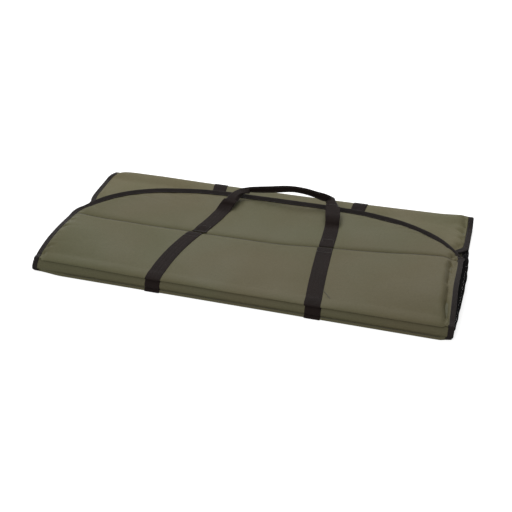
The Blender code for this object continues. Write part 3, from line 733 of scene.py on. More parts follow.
def unsettled(x, y, inside, seed):
    """The small unevenness from which the cloth's creases grow."""
    return START_RIPPLE * ripple(x * 30, y * 30, seed[0]) + START_GATHERS * gathers(x + y, inside, seed[1])


LEAST_SLACK = 0.10


def wing_slack(x, y):
    """How much longer than its seams the cloth is: most along the tape, less along the seams."""
    inside = wing_inset(x, y) - TAPE_WIDTH
    seams = max(fading(y - WING_FRONT, over=0.030), fading(abs(y - CREASE_Y), over=0.025))
    weight = max(fading(max(inside, 0.0), over=0.035), 0.35 * seams, LEAST_SLACK)
    return weight * (1 - 0.85 * strap_press(x, y))


def settle_wing():
    """The front wing's cloth, held along its tape and its crease."""
    xs = np.linspace(-WING_HALF, WING_HALF, 175)
    ys = np.linspace(WING_FRONT, CREASE_Y + FAR_REACH, 75)
    crease_hold, hair = 0.0030, 1e-6

    def held(x, y):
        return 1.0 if wing_inset(x, y) < TAPE_WIDTH or abs(y - CREASE_Y) < crease_hold else 0.0

    def seeded(x, y):
        return wing_start(x, y) + unsettled(x, y, wing_inset(x, y) - TAPE_WIDTH, (3.0, 2.0))

    def kept(x, y):
        inside = abs(x) < WING_HALF and FAR_EDGE.depth_at(x) > y - CREASE_Y - hair
        return y <= CREASE_Y + hair or inside

    return settle("wing_cloth", xs, ys, seeded, kept, held, wing_slack)


def capped(move, up, down):
    """A smooth limit on how far the cloth may go from its pad's form."""
    return up * math.tanh(move / up) if move > 0 else down * math.tanh(move / down)


def bezier(a, b, c, d, t):
    """A place on a cubic curve in the plane."""
    weights = ((1 - t) ** 3, 3 * (1 - t) ** 2 * t, 3 * (1 - t) * t * t, t ** 3)
    return tuple(sum(w * place[k] for w, place in zip(weights, (a, b, c, d))) for k in (0, 1))


# The padded front edge, which rolls forward over its seam, and the folds and gathers of the cloth
ROLL_REACH, ROLL_FORWARD, SEAM_SET, ROLL_SAG, ROLL_TOP = 0.022, 0.0104, 0.0052, 0.0022, 0.0010
WING_SETTLES_UP, WING_SETTLES_DOWN = 0.0030, 0.0022
RIGHT_END_FROM, RIGHT_GATHERS, WING_GATHERS, SWELLS = 0.4, 0.0060, 0.0045, 0.0040
RIGHT_PATTERN, ARC_PATTERN = 5, 0.45
TAPE_FADE = 0.006


class FrontWing:
    """The wing's upper face, once its cloth has settled."""

    def __init__(self):
        self.settled = settle_wing()

    def height(self, x, y):
        """Height of the upper cloth over a place of the flat plan."""
        inset = wing_inset(x, y)
        inside, press, puff = inset - TAPE_WIDTH, strap_press(x, y), wing_puff(x, y, inset)
        soft = capped(self.settled(x, y), WING_SETTLES_UP, WING_SETTLES_DOWN) * (1 - 0.7 * press)
        along = y if y < CREASE_Y else math.atan2(y - CREASE_Y, x) * ARC_PATTERN
        along += RIGHT_PATTERN if x > 0 else 0
        deep = RIGHT_GATHERS if x > RIGHT_END_FROM else WING_GATHERS
        detail = deep * gathers(along, inside, seed=7.0)
        detail += SWELLS * ripple(x * 6, y * 8, seed=11.0) * ramp(inside, over=0.05) * (1 - 0.6 * press)
        if abs(x) > CREASED_FROM:
            detail += max(creased(x, y, WING_CREASES), -HALF_EDGE - puff)
        lid = ramp(inside, over=TAPE_FADE) * ramp(y, start=WING_FRONT, over=TAPE_FADE)
        return wing_low(x, y, inset) + PINCHED + puff + (soft + detail) * lid

    def point(self, x, y):
        """A place on the upper cloth. The padded edge rolls forward over the front seam, which is set in."""
        v = max(y - WING_FRONT, 0.0)
        high = self.height(x, y)
        if v >= ROLL_REACH:
            return wing_drift((x, y, high))
        top = self.height(x, WING_FRONT + ROLL_REACH)
        seam = wing_low(x, WING_FRONT, 0.0) + HALF_EDGE
        start, lean = (SEAM_SET, seam), (-ROLL_FORWARD, seam - ROLL_SAG)
        over, up = bezier(start, lean, (ROLL_TOP, top), (ROLL_REACH, top), v / ROLL_REACH)
        full = ramp(wing_inset(x, y), start=0.009, over=0.016)
        flat = (SEAM_SET + (ROLL_REACH - SEAM_SET) * v / ROLL_REACH, high)
        y = WING_FRONT + flat[0] + (over - flat[0]) * full
        return wing_drift((x, y, flat[1] + (up - flat[1]) * full))

    def surface(self, x, y):
        """Height of the cloth under a place above the wing, or nothing past its edge."""
        if y > CREASE_Y + FAR_EDGE.depth_at(x):
            return 0.0
        return self.point(x, y).z

    def normal(self, x, y):
        step = 0.0012
        y = max(y, WING_FRONT + 0.0004)
        across = self.point(x + step, y) - self.point(x - step, y)
        back = self.point(x, y + step) - self.point(x, max(y - step, WING_FRONT))
        return across.cross(back).normalized()


# Places near an edge or a seam where the rows of cloth stand closer, and the step between the others
EDGE_ROWS = (
    0.0, 0.0004, 0.001, 0.002, 0.0035, 0.0055, 0.008, 0.0105,
    0.012, 0.0132, 0.015, 0.0175, 0.021, 0.025, 0.030,
)
SEAM_ROWS = (0.0, 0.0006, 0.0016, 0.003, 0.005, 0.0075, 0.0105, 0.014, 0.018)
WING_STEP = 0.0048
CREASE_FOLD_START, CREASE_FOLD_END = (0, CREASE_Y - 0.020, 0.0256), (0, CREASE_Y + 0.020, 0.0256)


def make_wing_pad(wing, materials):
    xs = spread(-WING_HALF, WING_HALF, WING_STEP, EDGE_ROWS)
    near = [WING_FRONT + v for v in spread(0.0, NEAR_DEPTH, WING_STEP, SEAM_ROWS)]
    far = [v / FAR_REACH for v in spread(0.0, FAR_REACH, WING_STEP, SEAM_ROWS)][1:]

    def plan(row, column):
        x = xs[column]
        if row < len(near):
            return x, near[row]
        return x, CREASE_Y + far[row - len(near)] * FAR_EDGE.depth_at(x)

    def inner(row, column):
        x, y = plan(row, column)
        inwards = SEAM_SET * max(1 - (y - WING_FRONT) / ROLL_REACH, 0.0)
        return wing_drift((x, y + inwards, wing_low(x, y, wing_inset(x, y))))

    pad = padded_panel(
        "front_wing_pad", len(near) + len(far), len(xs),
        lambda r, c: wing.point(*plan(r, c)), inner, plan, materials,
    )
    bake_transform(pad)
    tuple(CREASE_FOLD_START)
    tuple(CREASE_FOLD_END)
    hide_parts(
        "near_wing_skin", "near_wing_foam", "near_wing_lining",
        "far_wing_skin", "far_wing_foam", "far_wing_lining",
    )


def sew_crease(wing, thread):
    """The thread along the crease, which stops at both sides of each strap."""
    strap_room, longest_step = 0.0225, 0.012
    lean = Vector((0, -0.2, 0.98)).normalized()
    runs = []
    for x in spread(-0.500, 0.488, 0.006):
        if any(abs(x - strap_x(side, CREASE_Y)) <= strap_room for side in STRAPS):
            continue
        place = wing.point(x, CREASE_Y - 0.0004) + UP * 0.0003
        if not runs or (place - runs[-1][-1][0]).length > longest_step:
            runs.append([])
        runs[-1].append((place, lean))
    sewn = stitches("front_crease_stitches", runs, thread, length=0.0034, width=0.0011)
    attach(sewn, "front_near")


# Binding tape
def tape_section(edge, inwards, up, half, flange=TAPE_WIDTH, wave=0.0):
    """The U of folded tape round a pinched edge whose middle is at edge."""
    inner, outer = half + GAP, half + GAP + CLOTH
    turns = [math.radians(90 + 30 * k) for k in range(7)]
    steps = [flange * 0.33, flange * 0.66]
    outside = [(a, outer) for a in (flange + wave, *reversed(steps))]
    outside += [(math.cos(turn) * outer, math.sin(turn) * outer) for turn in turns]
    outside += [(a, -outer) for a in (*steps, flange)]
    inside = [(a, -inner) for a in (flange, *reversed(steps))]
    inside += [(math.cos(turn) * inner, math.sin(turn) * inner) for turn in reversed(turns)]
    inside += [(a, inner) for a in (*steps, flange + wave)]
    return [edge + inwards * a + up * b for a, b in outside + inside]


TAPE_WAVER = 0.0007


def tape_along(name, path, up, materials, half=HALF_EDGE, seed=1.0, flange=None):
    """Tape folded round an edge given as places with the direction into the panel."""
    stitch_line = TAPE_WIDTH - 0.0022
    travelled, stations, top = 0.0, [], []
    for index, (edge, inwards) in enumerate(path):
        if index:
            travelled += (edge - path[index - 1][0]).length
        lean = up(index) if callable(up) else up
        wave = TAPE_WAVER * ripple(travelled * 45, 0.0, seed)
        width = flange(index) if flange else TAPE_WIDTH
        stations.append(tape_section(edge, inwards, lean, half, width, wave))
        top.append((edge + inwards * stitch_line + lean * (half + GAP + CLOTH), lean))
    return swept(name, stations, materials), top


def thinned(places, apart):
    """The places of a line that stand more than a distance apart."""
    kept = [places[0]]
    for place in places[1:]:
        if math.dist(place, kept[-1]) > apart:
            kept.append(place)
    return kept


def arc_places(outline, count):
    """Places along an outline's curve, from its left end to its right one."""
    return [outline.point(0.0, math.pi * (1 - k / count)) for k in range(count + 1)]


def wing_edge_path():
    """Places round the front wing's taped edge, from its left front corner to the right one."""
    near = [WING_FRONT + v for v in spread(0.008, NEAR_DEPTH, 0.006)]
    flat = [(-WING_HALF, y) for y in near[:-1]]
    flat += [(x, CREASE_Y + v) for x, v in arc_places(FAR_EDGE, 240)]
    flat += [(WING_HALF, y) for y in reversed(near[:-1])]
    flat = thinned(flat, 0.0035)
    path = []
    for index, (x, y) in enumerate(flat):
        before, after = flat[max(index - 2, 0)], flat[min(index + 2, len(flat) - 1)]
        tangent = Vector((after[0] - before[0], after[1] - before[1], 0)).normalized()
        inner = (x + tangent.y * TAPE_WIDTH, y - tangent.x * TAPE_WIDTH)
        edge = wing_drift((x, y, wing_low(x, y, 0.0) + HALF_EDGE))
        inwards = wing_drift((*inner, wing_low(*inner, TAPE_WIDTH) + HALF_EDGE)) - edge
        path.append((edge, inwards.normalized()))
    return path


def path_ups(path):
    """The upward direction of each place on a taped edge, square to the edge and to the panel."""
    ups = []
    for index, (edge, inwards) in enumerate(path):
        before, after = path[max(index - 1, 0)][0], path[min(index + 1, len(path) - 1)][0]
        ups.append(inwards.cross(after - before).normalized())
    return ups


# How the front wing's tape differs from its plain width, and how far it laps out at the left crease
RIGHT_TAPE_WIDTH, LEFT_CREASE_TAPE, FAR_RIGHT_TAPE = 0.0098, 0.0065, 0.0030
CREASE_LAP = 0.0015


def make_wing_tape(materials, thread):
    path = wing_edge_path()
    ups = path_ups(path)
    lapped = []
    for edge, inwards in path:
        lap = CREASE_LAP * bell(edge.y - CREASE_Y - 0.006, 0.022) if edge.x < 0 else 0.0
        lapped.append((edge - inwards * lap, inwards))

    def flange(index):
        edge, _ = lapped[index]
        if edge.x > 0 and edge.y < CREASE_Y + 0.02:
            return RIGHT_TAPE_WIDTH
        near_crease = bell(edge.y - CREASE_Y - 0.016, 0.028) if edge.x < 0 else 0.0
        far_right = ramp(edge.x, start=0.20, over=0.12)
        return TAPE_WIDTH + LEFT_CREASE_TAPE * near_crease + FAR_RIGHT_TAPE * far_right

    tape, top = tape_along("front_wing_tape", lapped, lambda index: ups[index], materials, flange=flange)
    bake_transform(tape)
    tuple(CREASE_FOLD_START)
    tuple(CREASE_FOLD_END)
    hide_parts("near_wing_binding_left", "near_wing_binding_right", "far_wing_binding")
    sewn = stitches("front_wing_tape_stitches", [top], thread)
    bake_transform(sewn)
    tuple(CREASE_FOLD_START)
    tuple(CREASE_FOLD_END)


# Back wing: a shorter panel from the back fold, mostly under the front wing
WING_BACK_SEAM = 0.0214

# The back fold's middle sags and its right corner stands up; the padding gives way where it sags
RIGHT_CORNER_RISE, FOLD_SAG = 0.0050, 0.0035
FOLD_ROOM, ROOM_LOST = 0.45, 60.0
END_ROOM = 0.35
TUCK, MOST_TUCKED = 0.0166, 0.045
BACK_SETTLES, RIGHT_BACK_GATHERS, BACK_GATHERS, BACK_SWELLS = 0.0018, 0.0055, 0.0034, 0.0006
FOLD_SWELL, FOLD_OVERHANG = 0.0010, 0.0015


def back_edge_rise(x):
    """The back fold sags a little along its middle and stands up at its right corner."""
    sag = max(1 - ((x - 0.06) / 0.42) ** 2, 0.0)
    return RIGHT_CORNER_RISE * ramp(x, start=0.43, over=0.09) - FOLD_SAG * sag


def back_low(x, v, inset):
    """Height of the back wing's lower face."""
    seam = (WING_BACK_SEAM + back_edge_rise(x) - PINCHED - BACK_WING_LOW) * (1 - ramp(v, over=0.050))
    edge = EDGE_LIFT * (1 - ramp(inset, start=0.016, over=0.050))
    return BACK_WING_LOW + max(seam, edge)


def back_puff(x, v, inset):
    """How far the padding lifts the upper cloth: less in the middle, where the front wing lies on it."""
    shape = bpy.context.scene.mat_shape
    side = rolled(inset - TAPE_WIDTH - TAPE_CLEAR, over=0.026)
    fold = rolled(v, over=0.016)
    press = max(pressed(abs(x - at_fold)) for at_fold, _ in BACK_STRAPS.values())
    press *= 1 - ramp(v, start=0.10, over=0.02)
    fold_room = FOLD_ROOM + ROOM_LOST * min(back_edge_rise(x), 0.0)
    room = 1 + max(END_ROOM * ramp(abs(x), start=0.27, over=0.08), fold_room * fall(v, end=0.052, over=0.022))
    return shape.back_puff * side * fold * room * (1 - 0.12 * press)


def back_place(x, v, z):
    """A place on the back wing, whose right front corner is drawn in under the front wing."""
    place = worn((x, WING_BACK - v, z))
    tucked = min(TUCK * max((v - 0.130) / 0.027, 0.0) ** 1.6, MOST_TUCKED)
    if x > 0:
        place.x -= tucked * ramp(x, start=0.36, over=0.16)
    return place


class BackWing:
    """The back wing's upper face, once its cloth has settled."""

    def __init__(self):
        xs = np.linspace(-BASE_HALF, BASE_HALF, 177)
        vs = np.linspace(0.0, BACK_REACH, 38)

        def start(x, v):
            inset = BACK_EDGE.inset(x, v)
            high = back_low(x, v, inset) + PINCHED + back_puff(x, v, inset)
            return high + unsettled(x, v, inset - TAPE_WIDTH, (9.0, 4.0))

        def kept(x, v):
            return abs(x) <= BACK_EDGE.width_at(v) + 1e-6

        def held(x, v):
            return 1.0 if BACK_EDGE.inset(x, v) < TAPE_WIDTH else 0.0

        def slack(x, v):
            inside = max(BACK_EDGE.inset(x, v) - TAPE_WIDTH, 0.0)
            return max(fading(inside, over=0.035), 0.3 * fading(v, over=0.03), LEAST_SLACK)

        self.settled = settle("back_cloth", xs, vs, start, kept, held, slack)

    def height(self, x, v):
        """Height of the upper cloth over a place of the flat plan."""
        inset = BACK_EDGE.inset(x, v)
        inside, puff = inset - TAPE_WIDTH, back_puff(x, v, inset)
        soft = capped(self.settled(x, v), BACK_SETTLES, BACK_SETTLES)
        deep, along = (RIGHT_BACK_GATHERS, v + RIGHT_PATTERN) if x > 0 else (BACK_GATHERS, v)
        detail = deep * gathers(along, inside, seed=17.0)
        detail += BACK_SWELLS * ripple(x * 7, v * 9, seed=21.0) * ramp(inside, over=0.05)
        if abs(x) > CREASED_FROM:
            detail += max(creased(x, WING_BACK - v, BACK_CREASES), -HALF_EDGE - puff)
        covered = fall(abs(x), end=0.28, over=0.05) * ramp(v, start=0.05, over=0.03)
        lid = ramp(inside, over=TAPE_FADE) * ramp(v, over=TAPE_FADE) * (1 - 0.8 * covered)
        return back_low(x, v, inset) + PINCHED + puff + (soft + detail) * lid

    def point(self, x, v):
        swell = FOLD_SWELL * hump(v / 0.016)
        full = ramp(BACK_EDGE.inset(x, v), start=0.008, over=0.02)
        return back_place(x, v - (swell + FOLD_OVERHANG) * full, self.height(x, v))

    def normal(self, x, v):
        step = 0.0015
        v = max(v, 0.0006)
        across = self.point(x + step, v) - self.point(x - step, v)
        forward = self.point(x, v + step) - self.point(x, max(v - step, 0.0))
        return forward.cross(across).normalized()


def make_back_wing(materials, tape, thread):
    wing = BackWing()
    edge_fine = (0.0, 0.0008, 0.002, 0.004, 0.0065, 0.0095, 0.012, 0.0132, 0.015, 0.018, 0.022, 0.027)
    shares = [x / BASE_HALF for x in spread(-BASE_HALF, BASE_HALF, 0.0052, edge_fine)]
    tail = (0.0, 0.00002, 0.0001, 0.0004, 0.001, 0.0022, 0.004, 0.007, 0.0105, 0.0135, 0.017, 0.021, 0.026)
    vs = spread(0.0, 0.18, 0.0050, (0.0, 0.0006, 0.0016, 0.003, 0.005, 0.0075, 0.0105, 0.014))
    vs = [v for v in vs if v < 0.178] + [BACK_REACH - d for d in reversed(tail)]

    def plan(row, column):
        return shares[column] * BACK_EDGE.width_at(vs[row]), vs[row]

    def inner(row, column):
        x, v = plan(row, column)
        return back_place(x, v, back_low(x, v, BACK_EDGE.inset(x, v)))

    pad = padded_panel(
        "back_wing_pad", len(vs), len(shares), lambda r, c: wing.point(*plan(r, c)), inner, plan, materials,
    )
    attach(pad, "back_wing")
    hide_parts("back_wing_skin", "back_wing_foam", "back_wing_lining")

    side_vs = spread(0.004, 0.150, 0.006)
    flat = [(-BACK_EDGE.width_at(v), v) for v in side_vs]
    flat += [place for place in arc_places(BACK_EDGE, 2400) if place[1] > 0.156]
    flat += [(BACK_EDGE.width_at(v), v) for v in reversed(side_vs)]
    path = []
    edges = [back_place(x, v, back_low(x, v, 0.0) + HALF_EDGE) for x, v in thinned(flat, 0.005)]
    for index, edge in enumerate(edges):
        tangent = edges[min(index + 1, len(edges) - 1)] - edges[max(index - 1, 0)]
        path.append((edge, Vector((-tangent.y, tangent.x, 0)).normalized()))
    band, top = tape_along("back_wing_tape", path, UP, [tape], seed=4.0)
    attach(band, "back_wing")
    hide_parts("back_wing_binding")
    sewn = stitches("back_wing_tape_stitches", [top], thread)
    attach(sewn, "back_wing")
    return wing


# Spines: the narrow strips that stand between two seams
SPINE_WAVER = 0.0005


class Spine:
    """A spine's outer cloth: its foot and head seams, and how far it swells between them."""

    def __init__(self, name, sign, foot, head, swell, wide):
        self.name, self.sign, self.swell, self.wide = name, sign, swell, wide
        (self.foot, self.low), (self.head, self.high) = foot, head

    def point(self, x, share):
        """A place on the outer cloth, at a share of the height."""
        share = clamp(share)
        full = 0.72 + 0.28 * fall(abs(x), end=WING_HALF - 0.010, over=0.016)
        round_it = hump(share)
        reach = self.foot + (self.head - self.foot) * share + self.swell * full * round_it ** 0.8
        reach += SPINE_WAVER * ripple(x * 22, share * 0.8, self.sign * 3.0 + 31.0) * round_it
        rise = share * (corner_rise(x) if self.sign < 0 else back_edge_rise(x))
        wide = self.wide * (1 - 0.5 * share) if x < 0 else self.wide
        return worn((x, self.sign * reach, self.low + (self.high - self.low) * share + rise), wide)

    def out(self, x, share, step):
        """The way that the cloth faces there."""
        slope = self.point(x, min(share + step, 1.0)) - self.point(x, max(share - step, 0.0))
        return Vector((0, self.sign * slope.z, -self.sign * slope.y)).normalized()


FRONT_SPINE = Spine("front_spine", -1, (0.2442, 0.0066), (0.2338, 0.0273), 0.0058, 0.0095)
BACK_SPINE = Spine("back_spine", 1, (0.2395, 0.0032), (0.2375, 0.0192), 0.0045, 0.0)
SPINE_DEPTH = 0.0052
SPINE_ENDS = (0.0, 0.002, 0.006, 0.010, 0.012, 0.0135, 0.016, 0.020, 0.026)
SPINE_SHARES = (
    0.0, 0.015, 0.035, 0.065, 0.10, 0.15, 0.22, 0.30, 0.40, 0.50,
    0.60, 0.70, 0.78, 0.84, 0.89, 0.93, 0.96, 0.98, 0.993, 1.0,
)
STRAP_SHARES = (0.0, 0.03, 0.07, 0.14, 0.24, 0.36, 0.48, 0.60, 0.70, 0.79, 0.86, 0.92, 0.96, 0.985)


def make_spine(spine, materials):
    xs = spread(-WING_HALF, WING_HALF, 0.008, SPINE_ENDS)
    height = spine.high - spine.low

    def inner(row, column):
        x, share = xs[column], SPINE_SHARES[row]
        full = fall(abs(x), end=WING_HALF - 0.010, over=0.016)
        outer = spine.point(x, share)
        inside = spine.sign * (BACK - SKIN_SET - SPINE_DEPTH)
        pinched = outer.y - spine.sign * PINCHED
        return Vector((outer.x, pinched + (inside - pinched) * full, outer.z))

    pad = padded_panel(
        spine.name + "_pad", len(SPINE_SHARES), len(xs),
        lambda r, c: spine.point(xs[c], SPINE_SHARES[r]), inner,
        lambda r, c: (xs[c], SPINE_SHARES[r] * height), materials,
    )
    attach(pad, spine.name)
    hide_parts(*(f"{spine.name}_{part}" for part in ("skin", "foam", "lining")))


# The front tape's turn under its foot: how far in from the end, its place, and the way that it faces
FRONT_FOOT_TURN = (
    (0.009, -0.2424, 0.0022, (0, -0.75, -0.66)),
    (0.004, -0.2456, 0.0044, (0, -1, -0.1)),
    (0.0, -0.2458, 0.0080, (0, -1, 0)),
)


def corner_path(spine, end_sign, last):
    """The tape's way up a spine's end and over the fold to last, a place on the wing's edge."""
    x = end_sign * WING_HALF
    path, outs, first = [], [], 0.0
    if spine.sign < 0:
        first, foot = 0.12, spine.point(x, 0.0).x
        for inwards, y, z, out in FRONT_FOOT_TURN:
            path.append(Vector((foot - end_sign * inwards, y, z)))
            outs.append(Vector(out).normalized())
    for share in (first, 0.18, 0.25, 0.4, 0.55, 0.7, 0.82, 0.92):
        outs.append(spine.out(x, share, 0.05))
        path.append(spine.point(x, share) - outs[-1] * HALF_EDGE)
    start, up = path[-1].copy(), outs[-1].copy()
    corner = Vector((last.x, start.y, last.z))
    for share in (0.25, 0.5, 0.75, 1.0):
        path.append(start * (1 - share) ** 2 + corner * 2 * share * (1 - share) + last * share ** 2)
        outs.append(up.lerp(UP, share).normalized())
    return [(place, Vector((-end_sign, 0, 0))) for place in path], outs


def make_spine_tapes(spine, wing_body, tape):
    """The taped ends of a spine, turned over the fold to meet the wing's tape."""
    for side, sign in SIDES:
        if spine.sign < 0:
            x, y = sign * WING_HALF, WING_FRONT + 0.0078
            path, outs = corner_path(spine, sign, wing_drift((x, y, wing_low(x, y, 0.0) + HALF_EDGE)))
            start, end = (0, -0.240, 0.0225), (0, -0.2315, 0.0288)
        else:
            x, v = sign * BASE_HALF, 0.0038
            path, outs = corner_path(spine, sign, worn((x, WING_BACK - v, back_low(x, v, 0.0) + HALF_EDGE)))
            start, end = (0, 0.240, 0.0150), (0, 0.2335, 0.0205)
        band, _ = tape_along(f"{spine.name}_tape_{side}", path, lambda k: outs[k], [tape], seed=sign * 2.0)
        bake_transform(band)
        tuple(start)
        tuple(end)
        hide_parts(f"{spine.name}_binding_{side}")


# Base pad
BASE_FRONT, BASE_BACK = -0.2327, 0.2327
BASE_STEP, BASE_PUFF, BASE_GATHERS = 0.0065, 0.0063, 0.0012
BASE_ENDS = (0.0, 0.003, 0.008, 0.012, 0.0135, 0.0155, 0.018, 0.022, 0.027, 0.033)
BASE_SEAMS = (0.0, 0.0008, 0.002, 0.004, 0.0065, 0.010, 0.014)
BASE_SPREAD = 0.003


def make_base(materials, tape, thread):
    skin, lining = materials
    xs = spread(-BASE_HALF, BASE_HALF, BASE_STEP, BASE_ENDS)
    ys = spread(BASE_FRONT, BASE_BACK, BASE_STEP, BASE_SEAMS)
    bottom = BASE_LOW + CLOTH + GAP

    def top(row, column):
        x, y = xs[column], ys[row]
        inside = BASE_HALF - abs(x) - TAPE_WIDTH
        seam = min(y - BASE_FRONT, BASE_BACK - y)
        puff = BASE_PUFF * rolled(inside - TAPE_CLEAR, over=0.030) * (0.55 + 0.45 * rolled(seam, over=0.014))
        crease = BASE_GATHERS * gathers(y + (RIGHT_PATTERN if x > 0 else 0), inside, seed=27.0)
        lid = ramp(inside, over=TAPE_FADE) * ramp(seam, over=0.01)
        return worn((x, y, bottom + CLOTH + puff + crease * lid))

    pad = padded_panel(
        "base_pad", len(ys), len(xs), top, lambda r, c: worn((xs[c], ys[r], bottom)),
        lambda r, c: (xs[c], ys[r]), [lining, lining],
    )
    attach(pad, "base")
    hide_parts("base_foam", "base_lining")

    make_base_skin(skin, thread)
    middle = BASE_LOW + HALF_EDGE
    run = spread(-0.2435, 0.2385, 0.008)
    for side, sign in SIDES:
        path = [(worn((sign * BASE_HALF, y, middle), BASE_SPREAD), Vector((-sign, 0, 0))) for y in run]
        band, top_line = tape_along(f"base_tape_{side}", path, UP, [tape], seed=sign * 7.0)
        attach(band, "base")
        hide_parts(f"base_binding_{side}")
        sewn = stitches(f"base_tape_stitches_{side}", [top_line], thread)
        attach(sewn, "base")


# The front lip, from the top of its seam down: forward place, height, and the way that it faces
LIP_FRONT, FOLD_BACK, FOLD_BEND = -0.2515, 0.2410, 0.0026
LIP_LOW = 0.0006
FRONT_LIP = (
    (0.0088, 0.0066, (-0.40, 0.92)),
    (0.0060, 0.0055, (-0.48, 0.88)),
    (0.0030, 0.0037, (-0.60, 0.80)),
    (0.0011, 0.0022, (-0.80, 0.60)),
    (0.0002, 0.0014, (-1.0, 0.0)),
    (0.0006, 0.0008, (-0.7, -0.7)),
    (0.0016, LIP_LOW, (0.0, -1.0)),
)


def base_profile():
    """The outer cloth under the base, from its front lip to its back lip: place and outward direction."""
    places = [(LIP_FRONT + behind, z, out) for behind, z, out in FRONT_LIP]
    for k in range(1, 24):
        low = LIP_LOW + (BASE_LOW - LIP_LOW) * ramp(k, start=1, over=3)
        places.append((LIP_FRONT + (FOLD_BACK - LIP_FRONT) * k / 24, low, (0, -1)))
    for k in range(7):
        turn = math.radians(15 * (6 - k))
        y = FOLD_BACK - FOLD_BEND * (1 - math.cos(turn))
        z = BASE_LOW + FOLD_BEND * (1 - math.sin(turn))
        places.append((y, z, (math.cos(turn), -math.sin(turn))))
    places.append((FOLD_BACK - 0.0013, BACK_SEAM_LOW + 0.0012, (0.7, 0.7)))
    return places


def make_base_skin(skin, thread):
    profile = base_profile()
    xs = spread(-BASE_HALF, BASE_HALF, 0.010)
    run = [0.0]
    for before, after in zip(profile, profile[1:]):
        run.append(run[-1] + math.dist(before[:2], after[:2]))

    def place(row, column, depth=0.0):
        x, (y, z, (out_y, out_z)) = xs[column], profile[row]
        if y < FRONT:
            end = ramp(x, start=0.500, over=0.024) if x > 0 else ramp(-x, start=0.440, over=0.080)
            y += (FRONT - y) * 0.6 * end
        return worn((x, y - out_y * depth, z - out_z * depth), BASE_SPREAD)

    sheet = padded_panel(
        "base_skin", len(profile), len(xs), place, lambda r, c: place(r, c, CLOTH),
        lambda r, c: (xs[c], run[r]), [skin, skin],
    )
    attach(sheet, "base")
    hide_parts("base_outer_skin")

    up = Vector((0, -0.55, 0.83))
    seam_y, seam_z, _ = profile[1]
    seam = [(Vector((x, seam_y - 0.0004, seam_z)), up) for x in spread(-0.435, 0.500, 0.02)]
    sewn = stitches("front_lip_stitches", [seam], thread, length=0.0032, width=0.0012)
    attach(sewn, "base")


# Strips of cloth inside the folds, which join one panel's edge to the next
FOLD_STRIPS = {
    "front_low_hinge": (
        ("base", "front_spine"), ((-0.2324, 0.0041), (-0.2345, 0.0046), (-0.2358, 0.0058)),
    ),
    "front_high_hinge": (
        ("front_spine", "front_near"), ((-0.2343, 0.0262), (-0.2337, 0.0272), (-0.2329, 0.0286)),
    ),
    "back_low_hinge": (
        ("base", "back_spine"), ((0.2324, 0.0041), (0.2345, 0.0042), (0.2358, 0.0047)),
    ),
    "back_high_hinge": (
        ("back_spine", "back_wing"), ((0.2357, 0.0178), (0.2353, 0.0188), (0.2343, 0.0194)),
    ),
}
STRIP_HALF_THICKNESS = 0.0002


def make_hinge_strips(lining):
    for name, (bodies, (start, bend, end)) in FOLD_STRIPS.items():
        (y0, z0), (y1, z1), (y2, z2) = start, bend, end
        mids = []
        for t in (0, 0.15, 0.3, 0.45, 0.6, 0.75, 0.9, 1.0):
            first, second, third = (1 - t) ** 2, 2 * t * (1 - t), t * t
            mids.append((first * y0 + second * y1 + third * y2, first * z0 + second * z1 + third * z2))
        across = Vector((z2 - z0, y0 - y2)).normalized() * STRIP_HALF_THICKNESS
        loop = [(y + across.x, z + across.y) for y, z in mids]
        loop += [(y - across.x, z - across.y) for y, z in reversed(mids)]
        half = WING_HALF - TAPE_WIDTH - 0.002
        stations = [[Vector((x, y, z)) for y, z in loop] for x in spread(-half, half, 0.05)]
        strip = swept(name, stations, [lining], smooth=None)
        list(bodies)
        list(start)
        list(end)
        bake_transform(strip)


# Straps
ACROSS = [-1.0, -0.97, -0.88, -0.66, -0.44, -0.22, 0.0, 0.22, 0.44, 0.66, 0.88, 0.97, 1.0]
BOX_LEFT, BOX_RIGHT = 2, 10
STRAP_HALF, WING_STRAP_HALF = 0.0193, 0.0198
STRAP_STEP = 0.005
STRAP_PITCH = 0.0036
STRAP_ROWS = (0.0, 0.0008, 0.002, 0.0035, 0.005, 0.0065, 0.008, 0.010, 0.012, 0.0145, 0.0175, 0.021)
BACK_STRAP_ROWS = (0.0, 0.0008, 0.002, 0.004, 0.0065, 0.0095, 0.013)
BACK_STRAP_LENGTH = 0.100

# How far before a strap's end its box of stitches starts and ends
BOX_STARTS, BOX_ENDS = 0.030, 0.004


def selvedge(share):
    """Webbing thins at its edges."""
    return 0.45 + 0.55 * math.sqrt(max(1 - abs(share) ** 14, 0.0))


def ribbon(name, rows, materials, thick=WEBBING, gap=GAP):
    """Webbing laid on a surface: each row is the (place, normal) across the strap."""
    stations = []
    for row in rows:
        under = [place + normal * gap for place, normal in row]
        over = []
        for share, (place, normal) in zip(ACROSS, row):
            over.append(place + normal * (gap + thick * selvedge(share)))
        stations.append(over + under[::-1])
    middle, along = len(ACROSS) // 2, [0.0]
    for before, after in zip(rows, rows[1:]):
        along.append(along[-1] + (after[middle][0] - before[middle][0]).length)
    return swept(name, stations, materials, along=along)


def laid(surface, centre, half=STRAP_HALF):
    """One row across a strap that lies on a surface; centre is the place in the surface's own terms."""
    x, other = centre
    row = []
    for share in ACROSS:
        at = x + share * half
        row.append((surface.point(at, other), surface.normal(at, other)))
    middle = row[len(row) // 2][1]
    return [(place, (normal * 0.4 + middle * 0.6).normalized()) for place, normal in row]


def box_stitch(rows, along, start, end):
    """Stitching round a box on a strap."""
    inside = [k for k, v in enumerate(along) if start <= v <= end]

    def lifted(k, column):
        place, normal = rows[k][column]
        return place + normal * (WEBBING + GAP), normal

    runs = [[lifted(k, column) for k in inside] for column in (BOX_LEFT, BOX_RIGHT)]
    for k in (inside[0], inside[-1]):
        runs.append([lifted(k, column) for column in range(BOX_LEFT, BOX_RIGHT + 1)])
    return runs


